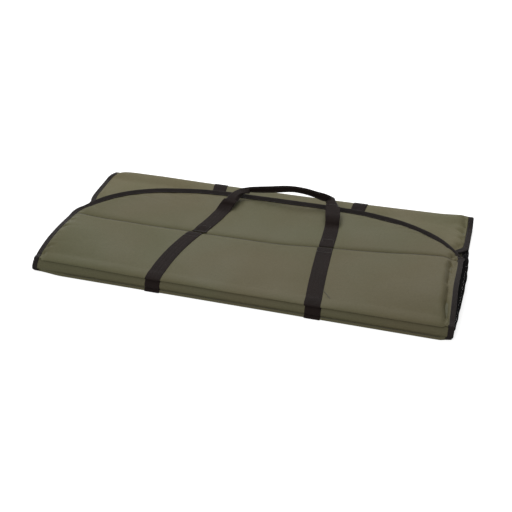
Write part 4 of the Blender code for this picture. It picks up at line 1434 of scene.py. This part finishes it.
def make_wing_straps(wing, webbing, thread):
    vs = spread(GAP, NEAR_DEPTH - GAP, STRAP_STEP, STRAP_ROWS)
    for side in STRAPS:
        ys = [WING_FRONT + v for v in vs]
        rows = [laid(wing, (strap_x(side, y), y), WING_STRAP_HALF) for y in ys]
        piece = ribbon(f"front_strap_{side}", rows, [webbing])
        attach(piece, "front_near")
        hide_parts(f"near_wing_strap_{side}")
        runs = box_stitch(rows, vs, NEAR_DEPTH - BOX_STARTS, NEAR_DEPTH - BOX_ENDS)
        sewn = stitches(f"front_strap_stitches_{side}", runs, thread, pitch=STRAP_PITCH)
        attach(sewn, "front_near")


# The loose thread end: the places it passes on the wing, its lift and its half thickness
LOOSE_THREAD = ((0.2060, -0.1680), (0.2110, -0.1760), (0.2185, -0.1855), (0.2270, -0.1950), (0.2360, -0.2070))
THREAD_LIFT, THREAD_HALF = 0.0009, 0.0005


def ring(centre, side, up, wide, high, count):
    """Places round a centre, from its side over its top."""
    turns = [2 * math.pi * k / count for k in range(count)]
    return [centre + side * (math.cos(turn) * wide) + up * (math.sin(turn) * high) for turn in turns]


def make_loose_thread(wing, thread):
    """One thread end that hangs out of the right strap's edge."""
    places = [wing.point(x, y) for x, y in LOOSE_THREAD]
    stations = []
    for index, place in enumerate(places):
        after, before = places[min(index + 1, len(places) - 1)], places[max(index - 1, 0)]
        forward = (after - before).normalized()
        side = forward.cross(UP).normalized()
        up = side.cross(forward)
        stations.append(ring(place + up * THREAD_LIFT, side, up, THREAD_HALF, THREAD_HALF, 6))
    piece = swept("loose_thread_end", stations, [thread])
    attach(piece, "front_near")


def make_spine_straps(spine, centres, webbing):
    for side, x in centres.items():
        rows = []
        for share in STRAP_SHARES:
            out = spine.out(x, share, 0.01)
            rows.append([(spine.point(x + place * STRAP_HALF, share), out) for place in ACROSS])
        piece = ribbon(f"{spine.name}_strap_{side}_web", rows, [webbing])
        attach(piece, spine.name)
        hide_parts(f"{spine.name}_strap_{side}")


def make_under_straps(webbing):
    profile = base_profile()
    for side in STRAPS:
        front, back = STRAPS[side][0], BACK_STRAPS[side][0]
        rows = []
        for y, z, (out_y, out_z) in profile:
            share = (y - FRONT) / (BACK - FRONT)
            x = front + (back - front) * share
            out = Vector((0, out_y, out_z))
            rows.append([(Vector((x + place * STRAP_HALF, y, z)), out) for place in ACROSS])
        piece = ribbon(f"under_strap_{side}_web", rows, [webbing])
        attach(piece, "base")
        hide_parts(f"under_strap_{side}")


def make_back_straps(wing, webbing, thread):
    vs = spread(0.0, BACK_STRAP_LENGTH, STRAP_STEP, BACK_STRAP_ROWS)
    for side, (at_fold, at_end) in BACK_STRAPS.items():
        rows = [laid(wing, (at_fold + (at_end - at_fold) * v / BACK_STRAP_LENGTH, v)) for v in vs]
        piece = ribbon(f"back_strap_{side}", rows, [webbing])
        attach(piece, "back_wing")
        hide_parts(f"back_wing_strap_{side}")
        runs = box_stitch(rows, vs, BACK_STRAP_LENGTH - BOX_STARTS, BACK_STRAP_LENGTH - BOX_ENDS)
        sewn = stitches(f"back_strap_stitches_{side}", runs, thread, pitch=STRAP_PITCH)
        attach(sewn, "back_wing")


# Carry handles: the left and right edge of each leg, from where it leaves the wing to the grip
LEG_EDGES = {
    "left": (
        ((-0.1459, 0.1120, 0.0385), (-0.1062, 0.1118, 0.0380)),
        ((-0.1395, 0.1227, 0.0470), (-0.1009, 0.1195, 0.0465)),
        ((-0.1332, 0.1377, 0.0520), (-0.0989, 0.1329, 0.0510)),
        ((-0.1259, 0.1569, 0.0550), (-0.0977, 0.1457, 0.0535)),
        ((-0.1142, 0.1713, 0.0560), (-0.0959, 0.1563, 0.0540)),
        ((-0.1003, 0.1836, 0.0560), (-0.0916, 0.1669, 0.0505)),
        ((-0.0844, 0.1940, 0.0555), (-0.0781, 0.1769, 0.0470)),
    ),
    "right": (
        ((0.1542, 0.0923, 0.0350), (0.1912, 0.0943, 0.0350)),
        ((0.1527, 0.1023, 0.0430), (0.1900, 0.1023, 0.0430)),
        ((0.1492, 0.1152, 0.0500), (0.1886, 0.1152, 0.0500)),
        ((0.1454, 0.1334, 0.0530), (0.1850, 0.1342, 0.0530)),
        ((0.1425, 0.1500, 0.0545), (0.1799, 0.1531, 0.0550)),
        ((0.1398, 0.1604, 0.0555), (0.1727, 0.1672, 0.0560)),
        ((0.1384, 0.1692, 0.0560), (0.1652, 0.1803, 0.0575)),
        ((0.1371, 0.1743, 0.0540), (0.1545, 0.1921, 0.0585)),
        ((0.1367, 0.1763, 0.0530), (0.1472, 0.1959, 0.0590)),
    ),
}
LEG_LEAVES = {"left": 0.098, "right": 0.080}
LEG_HALF = {"left": 0.0196, "right": 0.0188}
GRIP_Y, GRIP_THICK = 0.188, 0.0034
GRIP_EDGES = (
    ((-0.0820, 0.0430), (-0.0825, 0.0595)), ((-0.0570, 0.0455), (-0.0570, 0.0645)),
    ((-0.0210, 0.0505), (-0.0210, 0.0710)), ((0.0145, 0.0570), (0.0145, 0.0775)),
    ((0.0380, 0.0610), (0.0380, 0.0800)), ((0.0570, 0.0615), (0.0615, 0.0800)),
    ((0.0800, 0.0590), (0.0845, 0.0780)), ((0.1035, 0.0535), (0.1080, 0.0735)),
    ((0.1195, 0.0480), (0.1310, 0.0700)), ((0.1340, 0.0455), (0.1490, 0.0640)),
)
GRIP_SECTION = (
    (-1.0, 0.0), (-0.99, 0.5), (-0.95, 0.85), (-0.88, 1.0), (-0.40, 1.0), (-0.36, 0.78), (-0.32, 1.0),
    (0.0, 1.0), (0.32, 1.0), (0.36, 0.78), (0.40, 1.0), (0.88, 1.0), (0.95, 0.85), (0.99, 0.5),
)
GRIP_SEAM, GRIP_WAVER = 0.66, 0.0008
WEB_LIE = GAP + WEBBING / 2
WEB_BEND, OPEN_WIDTH, MOST_FOLDED = 0.00082, 0.0365, 0.97
LEG_STEPS, GRIP_STEPS = 6, 9


def between(places, index, share):
    """A place on the smooth curve through places, a share of the way from the one at index to the next."""
    before, after = places[max(index - 1, 0)], places[min(index + 2, len(places) - 1)]
    first, last = places[index], places[index + 1]
    return 0.5 * (
        2 * first + (last - before) * share + (2 * before - 5 * first + 4 * last - after) * share ** 2
        + (3 * first - before - 3 * last + after) * share ** 3
    )


def folded_web(fold, half=WEBBING_WIDTH / 2):
    """Webbing seen end on, with its outer quarters folded over by a share: middle line and outward side."""
    step = 0.0004
    arc = math.pi * WEB_BEND
    straight = half / 2 - arc / 4
    right, place, turn, run = [], Vector((0, 0)), 0.0, 0.0
    while run < half - 1e-9:
        right.append((place.copy(), turn))
        turn = fold * math.pi * clamp((run - straight) / arc)
        place = place + Vector((math.cos(turn), math.sin(turn))) * step
        run += step
    right.append((place.copy(), turn))
    picked = list(range(0, len(right), 3))
    if picked[-1] != len(right) - 1:
        picked.append(len(right) - 1)
    drop = Vector((0, -WEB_BEND * fold))
    line = []
    for k in reversed(picked[1:]):
        (across, high), turned = right[k]
        line.append((Vector((-across, high)) + drop, Vector((math.sin(turned), math.cos(turned)))))
    for k in picked:
        (across, high), turned = right[k]
        line.append((Vector((across, high)) + drop, Vector((-math.sin(turned), math.cos(turned)))))
    return line


def leg_edges(side, wing):
    """Left and right edge of a leg, row by row: it lies on the wing, then rises to the grip."""
    edges = ([], [])
    for y in (CREASE_Y + GAP / 2, 0.016, 0.040, 0.063, LEG_LEAVES[side]):
        for edge, sign in zip(edges, (-1, 1)):
            x = strap_x(side, y) + sign * LEG_HALF[side]
            edge.append(wing.point(x, y) + UP * WEB_LIE)
    for pair in LEG_EDGES[side]:
        for edge, place in zip(edges, pair):
            edge.append(Vector(place))
    rows = []
    for index in range(len(edges[0]) - 1):
        for step in range(LEG_STEPS):
            share = step / LEG_STEPS
            rows.append((index + share, *(between(edge, index, share) for edge in edges)))
    rows.append((len(edges[0]) - 1, edges[0][-1], edges[1][-1]))
    return rows


def leg_fold(width, past_end):
    """How far a leg's edges are folded over: as its width asks, and almost flat where it meets the grip."""
    part = clamp((width / 2 - 0.010) / 0.010, low=-1.0)
    fold = math.acos(part) / math.pi if width < OPEN_WIDTH else 0.0
    return min(max(fold, MOST_FOLDED * ramp(past_end, start=-2.4, over=2.0)), MOST_FOLDED)


def leg_section(row, neighbours, past_end, lying, wing):
    """One section through a leg, and the places and direction for its stitches."""
    (_, left, right), (before, after) = row, neighbours
    along = (after[1] + after[2] - before[1] - before[2]).normalized()
    width = (right - left).length
    across = (right - left).normalized()
    up = across.cross(along).normalized()
    fold = leg_fold(width, past_end)
    line = folded_web(fold)
    reach = max(place.x for place, _ in line)
    outside, inside = [], []
    for index, ((side_way, high), (out_x, out_z)) in enumerate(line):
        place = (left + right) / 2 + across * side_way / reach * width / 2 - up * (high + WEB_BEND * fold)
        if lying or place.z < 0.045:
            place.z = max(place.z, wing.surface(place.x, place.y) + WEB_LIE)
        out = across * out_x - up * out_z
        thin = WEBBING / 2 * selvedge(2 * index / (len(line) - 1) - 1)
        outside.append(place + out * thin)
        inside.append(place - out * thin)
    top = [((left * (8 - k) + right * k) / 8 + up * WEBBING / 2, up) for k in range(9)]
    return outside + inside[::-1], top


def make_leg(side, wing, webbing, thread):
    rows = leg_edges(side, wing)
    stations, tops, lengths = [], [], [0.0]
    for number, row in enumerate(rows):
        neighbours = rows[max(number - 1, 0)], rows[min(number + 1, len(rows) - 1)]
        lying = (row[1].y + row[2].y) / 2 < LEG_LEAVES[side] + 0.020
        station, top = leg_section(row, neighbours, row[0] - rows[-1][0], lying, wing)
        stations.append(station)
        tops.append(top)
    for before, after in zip(rows, rows[1:]):
        lengths.append(lengths[-1] + (after[1] + after[2] - before[1] - before[2]).length / 2)
    leg = swept(f"handle_leg_{side}_web", stations, [webbing], along=lengths)
    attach(leg, "front_handle")
    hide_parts(f"handle_leg_{side}")

    picked = [k for k, length in enumerate(lengths) if 0.004 <= length <= 0.030]
    runs = [[tops[k][1] for k in picked], [tops[k][7] for k in picked]]
    runs += [tops[k][1:8] for k in (picked[0], picked[-1])]
    if side == "right":
        runs.append(tops[round(9.6 * LEG_STEPS)][1:8])
    sewn = stitches(f"handle_leg_{side}_stitches", runs, thread, pitch=STRAP_PITCH)
    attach(sewn, "front_handle")


def make_grip(webbing, thread):
    """The grip stands on edge between the legs, a low arch of webbing sewn in layers."""
    edges = [[Vector((x, GRIP_Y, z)) for x, z in line] for line in zip(*GRIP_EDGES)]
    rows = []
    for index in range(len(GRIP_EDGES) - 1):
        for step in range(GRIP_STEPS):
            rows.append([between(edge, index, step / GRIP_STEPS) for edge in edges])
    rows.append([edge[-1] for edge in edges])
    face = Vector((0, -1, 0))
    section = GRIP_SECTION + tuple((-high, -deep) for high, deep in GRIP_SECTION)
    stations, lines, lengths = [], ([], []), [0.0]
    for index, (lower, upper) in enumerate(rows):
        middle = (lower + upper) / 2 + face * GRIP_WAVER * ripple(lower.x * 14, 0.0, seed=51.0)
        half = (upper - lower) / 2
        stations.append([middle + half * high + face * (deep * GRIP_THICK / 2) for high, deep in section])
        if index:
            last_lower, last_upper = rows[index - 1]
            lengths.append(lengths[-1] + (upper + lower - last_lower - last_upper).length / 2)
        for line, high in zip(lines, (-GRIP_SEAM, GRIP_SEAM)):
            line.append((middle + half * high + face * (GRIP_THICK / 2), face))
    grip = swept("handle_grip_web", stations, [webbing], along=lengths)
    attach(grip, "front_handle")
    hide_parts("handle_grip")
    sewn = stitches("handle_grip_stitches", lines, thread, pitch=STRAP_PITCH)
    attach(sewn, "front_handle")


# The tucked handle: where its legs meet its grip, the grip's width and thickness, and its two ends
TUCKED_LEGS = {"left": -0.105, "right": 0.145}
TUCKED_GRIP_WIDTH, TUCKED_GRIP_THICK = 0.020, 0.0030
TUCKED_GRIP_LEFT, TUCKED_GRIP_LENGTH = -0.125, 0.290


def make_tucked_handle(webbing):
    """The back wing's handle, pressed flat between the wings."""
    leg_start, leg_end = BACK_STRAP_LENGTH + GAP, BACK_REACH - 0.026 - TUCKED_GRIP_WIDTH
    for side, at_grip in TUCKED_LEGS.items():
        at_end = BACK_STRAPS[side][1]
        rows = []
        for k in range(13):
            share = k / 12
            y = WING_BACK - (leg_start + (leg_end - GAP - leg_start) * share)
            x = at_end + (at_grip - at_end) * share
            z = TUCKED_LOW + 0.0002 * math.sin(share * 9.0)
            rows.append([(Vector((x + place * WEBBING_WIDTH / 2, y, z)), UP) for place in ACROSS])
        leg = ribbon(f"tucked_leg_{side}_web", rows, [webbing], gap=0.0)
        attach(leg, "back_wing")
        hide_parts(f"tucked_leg_{side}")
    rows = []
    for k in range(31):
        x = TUCKED_GRIP_LEFT + TUCKED_GRIP_LENGTH * k / 30
        y = WING_BACK - leg_end - TUCKED_GRIP_WIDTH / 2
        rows.append([(Vector((x, y - place * TUCKED_GRIP_WIDTH / 2, TUCKED_LOW)), UP) for place in ACROSS])
    grip = ribbon("tucked_grip_web", rows, [webbing], thick=TUCKED_GRIP_THICK, gap=0.0)
    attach(grip, "back_wing")
    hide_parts("tucked_grip")


# Net gussets
NET_FOOT_X, NET_LOW = 0.5186, 0.0051
NET_FRONT, NET_REAR = 0.012, NEAR_DEPTH + 0.106
NET_CELL = 0.0038
NET_HANG = Vector((0.5195, 0.0, 0.0095))
LEFT_BELLY, NET_WAVER, STRAND_WAVER, LAYER_SHIFT = 0.003, 0.0016, 0.0014, 0.0011
NET_STRAND = 0.0009
HEM_HALF = 0.0006


def net_head(sign, v):
    """The net's upper edge: under the front wing's tape, then down to the back wing's."""
    x = sign * (WING_HALF - 0.001)
    y = WING_FRONT + min(v, NEAR_DEPTH)
    head = wing_drift((x, y, wing_low(x, y, 0.0) + HALF_EDGE - 0.0006))
    if v > NEAR_DEPTH:
        past = v - NEAR_DEPTH
        hang = Vector((sign * NET_HANG.x, head.y, NET_HANG.z))
        head = head.lerp(hang, ramp(past, start=0.020, over=0.070)) + Vector((0, past * 0.86, 0))
    return head


def net_place(sign, v, share, layer=0):
    """The net hangs between the base's end tape and the front wing's, and bellies outwards."""
    foot = Vector((sign * NET_FOOT_X, WING_FRONT + v, NET_LOW))
    slack = 0.40 + 0.60 * hump(v / (NET_REAR + 0.006))
    belly = bpy.context.scene.mat_shape.right_belly if sign > 0 else LEFT_BELLY
    bulge = belly * (1 - 0.4 * layer) * hump(share) ** 0.8 * slack
    seed = sign * 6.0 + 40.0 + 9.0 * layer
    bulge += NET_WAVER * ripple(v * 38, share * 1.6, seed) * hump(share) * (sign > 0)
    shift = STRAND_WAVER * ripple(v * 30, share * 2.0, seed + 20.0) + LAYER_SHIFT * layer
    return foot.lerp(net_head(sign, v), share) + Vector((sign * bulge, shift, 0))


def make_net(side, sign, netting):
    columns = round((NET_REAR - NET_FRONT) / NET_CELL)
    rows = bpy.context.scene.mat_shape.net_rows
    bm = bmesh.new()
    for layer in (0, 1):
        made = bmesh.ops.create_grid(bm, x_segments=columns, y_segments=rows, size=1)
        grid = set(made["verts"])
        straight = [edge for edge in bm.edges if edge.verts[0] in grid]
        poked = bmesh.ops.poke(bm, faces=[face for face in bm.faces if face.verts[0] in grid])
        inner = [edge for edge in straight if len(edge.link_faces) == 2]
        bmesh.ops.dissolve_edges(bm, edges=inner, use_verts=False)
        for vert in (*made["verts"], *poked["verts"]):
            along, share = (vert.co.x + 1) / 2, (vert.co.y + 1) / 2
            vert.co = net_place(sign, NET_FRONT + (NET_REAR - NET_FRONT) * along, share, layer)
    bmesh.ops.wireframe(
        bm, faces=bm.faces[:], thickness=NET_STRAND, offset=0.0, use_replace=True, use_boundary=True,
        use_even_offset=False, use_crease=False, crease_weight=0.0, use_relative_offset=False,
        material_offset=0,
    )
    net = finish_piece(f"net_gusset_{side}_mesh", bm, [netting], smooth=math.radians(60))
    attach(net, "base")
    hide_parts(f"net_gusset_{side}")
    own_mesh(net)

    for name, share, thick in (("foot", 0.0, 0.0010), ("head", 1.0, 0.0009)):
        stations = []
        for v in spread(NET_FRONT - 0.003, NET_REAR + 0.002, 0.006):
            stations.append(ring(net_place(sign, v, share), Vector((1, 0, 0)), UP, HEM_HALF, thick, 8))
        hem = swept(f"net_{name}_hem_{side}", stations, [netting])
        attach(hem, "base")
        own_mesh(hem)


# Room
def white_world(strength):
    """Light from all round, which the camera sees as white."""
    made = Nodes(bpy.data.worlds.new("plain_white_room"), "Background")
    level = made.ranged(made.seen(), first=strength, last=1.0)
    bpy.context.scene.world = made.finish(Color=WHITE, Strength=level)


def soft_light(name, place, aim, size, power):
    data = bpy.data.lights.new(name, "AREA")
    data.shape, data.size, data.size_y = "RECTANGLE", *size
    data.energy = power
    lamp = bpy.data.objects.new(name, data)
    bpy.context.scene.collection.objects.link(lamp)
    lamp.location = place
    lamp.rotation_euler = (Vector(aim) - Vector(place)).to_track_quat("-Z", "Y").to_euler()


def floor(size, finish):
    bm = bmesh.new()
    bmesh.ops.create_grid(bm, x_segments=2, y_segments=2, size=size / 2)
    for vert in bm.verts:
        vert.co.z = -0.0002
    finish_piece("studio_floor", bm, [finish], smooth=None)


def photo_camera(azimuth, elevation, roll, distance, target, lens):
    azimuth, elevation, roll = (math.radians(turn) for turn in (azimuth, elevation, roll))
    level = math.cos(elevation)
    back = Vector((math.sin(azimuth) * level, -math.cos(azimuth) * level, math.sin(elevation)))
    right = (-back).cross(UP).normalized()
    up = right.cross(-back)
    side = right * math.cos(roll) + up * math.sin(roll)
    top = up * math.cos(roll) - right * math.sin(roll)
    data = bpy.data.cameras.new("photo_camera")
    data.sensor_width, data.lens = 36.0, lens
    camera = bpy.data.objects.new("photo_camera", data)
    bpy.context.scene.collection.objects.link(camera)
    turned = Matrix((side, top, back)).transposed().to_4x4()
    camera.matrix_world = Matrix.Translation(Vector(target) + back * distance) @ turned
    bpy.context.scene.camera = camera


# Settings and operators
class MatShape(bpy.types.PropertyGroup):
    wing_puff: bpy.props.FloatProperty(
        name="Front wing padding", description="Height of the padding over the front wing's flat edge",
        default=0.0080, unit="LENGTH",
    )
    crease_share: bpy.props.FloatProperty(
        name="Crease depth", description="How much of the padding the sewn crease pulls down", default=0.62,
    )
    back_puff: bpy.props.FloatProperty(
        name="Back wing padding", description="Height of the padding over the back wing's flat edge",
        default=0.0058, unit="LENGTH",
    )
    end_lift: bpy.props.FloatProperty(
        name="End lift", description="How far the bunched nets push the front wing's ends up",
        default=0.014, unit="LENGTH",
    )
    right_lift: bpy.props.FloatProperty(
        name="Right end lift", description="Extra lift of the right end of the crease",
        default=0.010, unit="LENGTH",
    )
    right_belly: bpy.props.FloatProperty(
        name="Right net belly", description="How far the right net bellies outwards",
        default=0.0165, unit="LENGTH",
    )
    net_rows: bpy.props.IntProperty(
        name="Net rows", description="Openings in the height of each net", default=11,
    )


class MatFinish(bpy.types.PropertyGroup):
    nylon: bpy.props.FloatVectorProperty(
        name="Nylon", description="Colour of the outer cloth", default=(0.119, 0.107, 0.059), subtype="COLOR",
    )
    lining: bpy.props.FloatVectorProperty(
        name="Lining", description="Colour of the inner cloth",
        default=(0.120, 0.115, 0.075), subtype="COLOR",
    )
    tape: bpy.props.FloatVectorProperty(
        name="Tape", description="Colour of the binding tape",
        default=(0.0138, 0.0104, 0.0094), subtype="COLOR",
    )
    webbing: bpy.props.FloatVectorProperty(
        name="Webbing", description="Colour of the straps", default=(0.0125, 0.0078, 0.0066), subtype="COLOR",
    )
    thread: bpy.props.FloatVectorProperty(
        name="Thread", description="Colour of the stitching", default=(0.045, 0.040, 0.036), subtype="COLOR",
    )
    net: bpy.props.FloatVectorProperty(
        name="Net", description="Colour of the net", default=(0.0035, 0.0033, 0.0033), subtype="COLOR",
    )


class MatStage(bpy.types.PropertyGroup):
    room: bpy.props.FloatProperty(
        name="Room light", description="Light from all round", default=0.25,
    )
    overhead: bpy.props.FloatProperty(
        name="Overhead light", description="Power of the large light overhead", default=35.0, unit="POWER",
    )
    fill: bpy.props.FloatProperty(
        name="Fill light", description="Power of the light from the front", default=30.0, unit="POWER",
    )
    floor_tone: bpy.props.FloatProperty(
        name="Floor tone", description="Grey of the floor before its glow", default=0.60,
    )
    floor_glow: bpy.props.FloatProperty(
        name="Floor glow", description="Light that the floor adds for the camera", default=0.79,
    )


# Each finish: the name of its material, its maker, the property with its colour, and what sets it apart
FINISHES = {
    "outer_nylon": ("outer_nylon_cloth", nylon, "nylon", {}),
    # The back wing's cloth is the outer nylon made 1.22 times lighter: a painted sheen, a lit copy of the
    # same cloth standing in for the brighter reflection off its flat face.
    "back_nylon_painted_sheen": ("back_wing_nylon_cloth", nylon, "nylon", {"lighter": 1.22}),
    "lining": ("lining_cloth", nylon, "lining", {"gloss": 0.60, "weave": 0.0007}),
    "binding_tape": ("ribbed_binding_tape", tape_finish, "tape", {}),
    "webbing": ("woven_webbing", webbing_finish, "webbing", {}),
    "thread": ("black_thread", thread_finish, "thread", {}),
    "net": ("knotted_net", net_finish, "net", {}),
}


def finish_for(kind):
    """The finishes are made once and shared by the pieces."""
    name, maker, shade, apart = FINISHES[kind]
    made = bpy.data.materials.get(name)
    return made or maker(name, tuple(getattr(bpy.context.scene.mat_finish, shade)), **apart)


class MAT_OT_front_wing(bpy.types.Operator):
    """Make the front wing with its tape, straps and carry handle"""
    bl_idname = "mat.front_wing"
    bl_label = "Front wing"

    def execute(self, context):
        cloth, lining = finish_for("outer_nylon"), finish_for("lining")
        tape, webbing, thread = finish_for("binding_tape"), finish_for("webbing"), finish_for("thread")
        wing = FrontWing()
        make_wing_pad(wing, [cloth, lining])
        sew_crease(wing, thread)
        make_wing_tape([tape], thread)
        make_wing_straps(wing, webbing, thread)
        for side in STRAPS:
            make_leg(side, wing, webbing, thread)
        make_grip(webbing, thread)
        make_loose_thread(wing, thread)
        return {"FINISHED"}


class MAT_OT_back_wing(bpy.types.Operator):
    """Make the back wing with its tape, straps and tucked handle"""
    bl_idname = "mat.back_wing"
    bl_label = "Back wing"

    def execute(self, context):
        # The back wing gets the lighter copy of the nylon, whose extra brightness is painted sheen.
        cloth, lining = finish_for("back_nylon_painted_sheen"), finish_for("lining")
        tape, webbing, thread = finish_for("binding_tape"), finish_for("webbing"), finish_for("thread")
        wing = make_back_wing([cloth, lining], tape, thread)
        make_back_straps(wing, webbing, thread)
        make_tucked_handle(webbing)
        return {"FINISHED"}


class MAT_OT_base(bpy.types.Operator):
    """Make the base pad, the two spines, their tapes and the straps round them"""
    bl_idname = "mat.base"
    bl_label = "Base and spines"

    def execute(self, context):
        cloth, lining = finish_for("outer_nylon"), finish_for("lining")
        tape, webbing, thread = finish_for("binding_tape"), finish_for("webbing"), finish_for("thread")
        make_base([cloth, lining], tape, thread)
        make_under_straps(webbing)
        for spine, body, straps in (
            (FRONT_SPINE, "front_near", {side: STRAPS[side][0] for side in STRAPS}),
            (BACK_SPINE, "back_wing", {side: BACK_STRAPS[side][0] for side in BACK_STRAPS}),
        ):
            make_spine(spine, [cloth, lining])
            make_spine_tapes(spine, body, tape)
            make_spine_straps(spine, straps, webbing)
        make_hinge_strips(lining)
        return {"FINISHED"}


class MAT_OT_nets(bpy.types.Operator):
    """Make the net gussets at the ends"""
    bl_idname = "mat.nets"
    bl_label = "Net gussets"

    def execute(self, context):
        for side, sign in SIDES:
            make_net(side, sign, finish_for("net"))
        return {"FINISHED"}


class MAT_OT_stage(bpy.types.Operator):
    """Set the floor, lights and camera"""
    bl_idname = "mat.stage"
    bl_label = "Stage"

    def execute(self, context):
        stage = context.scene.mat_stage
        context.scene.view_settings.view_transform = "Standard"
        white_world(stage.room)
        floor(14.0, floor_finish("pale_floor", stage.floor_tone, stage.floor_glow))
        soft_light("overhead_light", (-0.3, 1.5, 1.9), (0, 0, 0), (2.0, 1.4), stage.overhead)
        soft_light("fill_light", (-0.4, -2.4, 2.2), (0, 0, 0), (1.6, 1.2), stage.fill)
        photo_camera(
            azimuth=18.057, elevation=35.4, roll=-2.0,
            distance=2.28291, target=(0.00462, -0.04176, 0.0), lens=62.45,
        )
        return {"FINISHED"}


class MAT_PT_panel(bpy.types.Panel):
    bl_idname = "MAT_PT_panel"
    bl_label = "Unhooking mat"
    bl_space_type = "VIEW_3D"
    bl_region_type = "UI"
    bl_category = "Mat"

    def draw(self, context):
        for group in (context.scene.mat_shape, context.scene.mat_finish, context.scene.mat_stage):
            box = self.layout.box()
            for name in group.__annotations__:
                box.prop(group, name)
        for operator in OPERATORS:
            self.layout.operator(operator.bl_idname)


OPERATORS = (MAT_OT_base, MAT_OT_back_wing, MAT_OT_front_wing, MAT_OT_nets, MAT_OT_stage)
CLASSES = (MatShape, MatFinish, MatStage, *OPERATORS, MAT_PT_panel)


def register():
    for each in CLASSES:
        bpy.utils.register_class(each)
    bpy.types.Scene.mat_shape = bpy.props.PointerProperty(type=MatShape)
    bpy.types.Scene.mat_finish = bpy.props.PointerProperty(type=MatFinish)
    bpy.types.Scene.mat_stage = bpy.props.PointerProperty(type=MatStage)


def unregister():
    for name in ("mat_shape", "mat_finish", "mat_stage"):
        delattr(bpy.types.Scene, name)
    for each in reversed(CLASSES):
        bpy.utils.unregister_class(each)


def main():
    register()
    bpy.ops.mat.base()
    bpy.ops.mat.back_wing()
    bpy.ops.mat.front_wing()
    bpy.ops.mat.nets()
    bpy.ops.mat.stage()


if __name__ == "__main__":
    main()
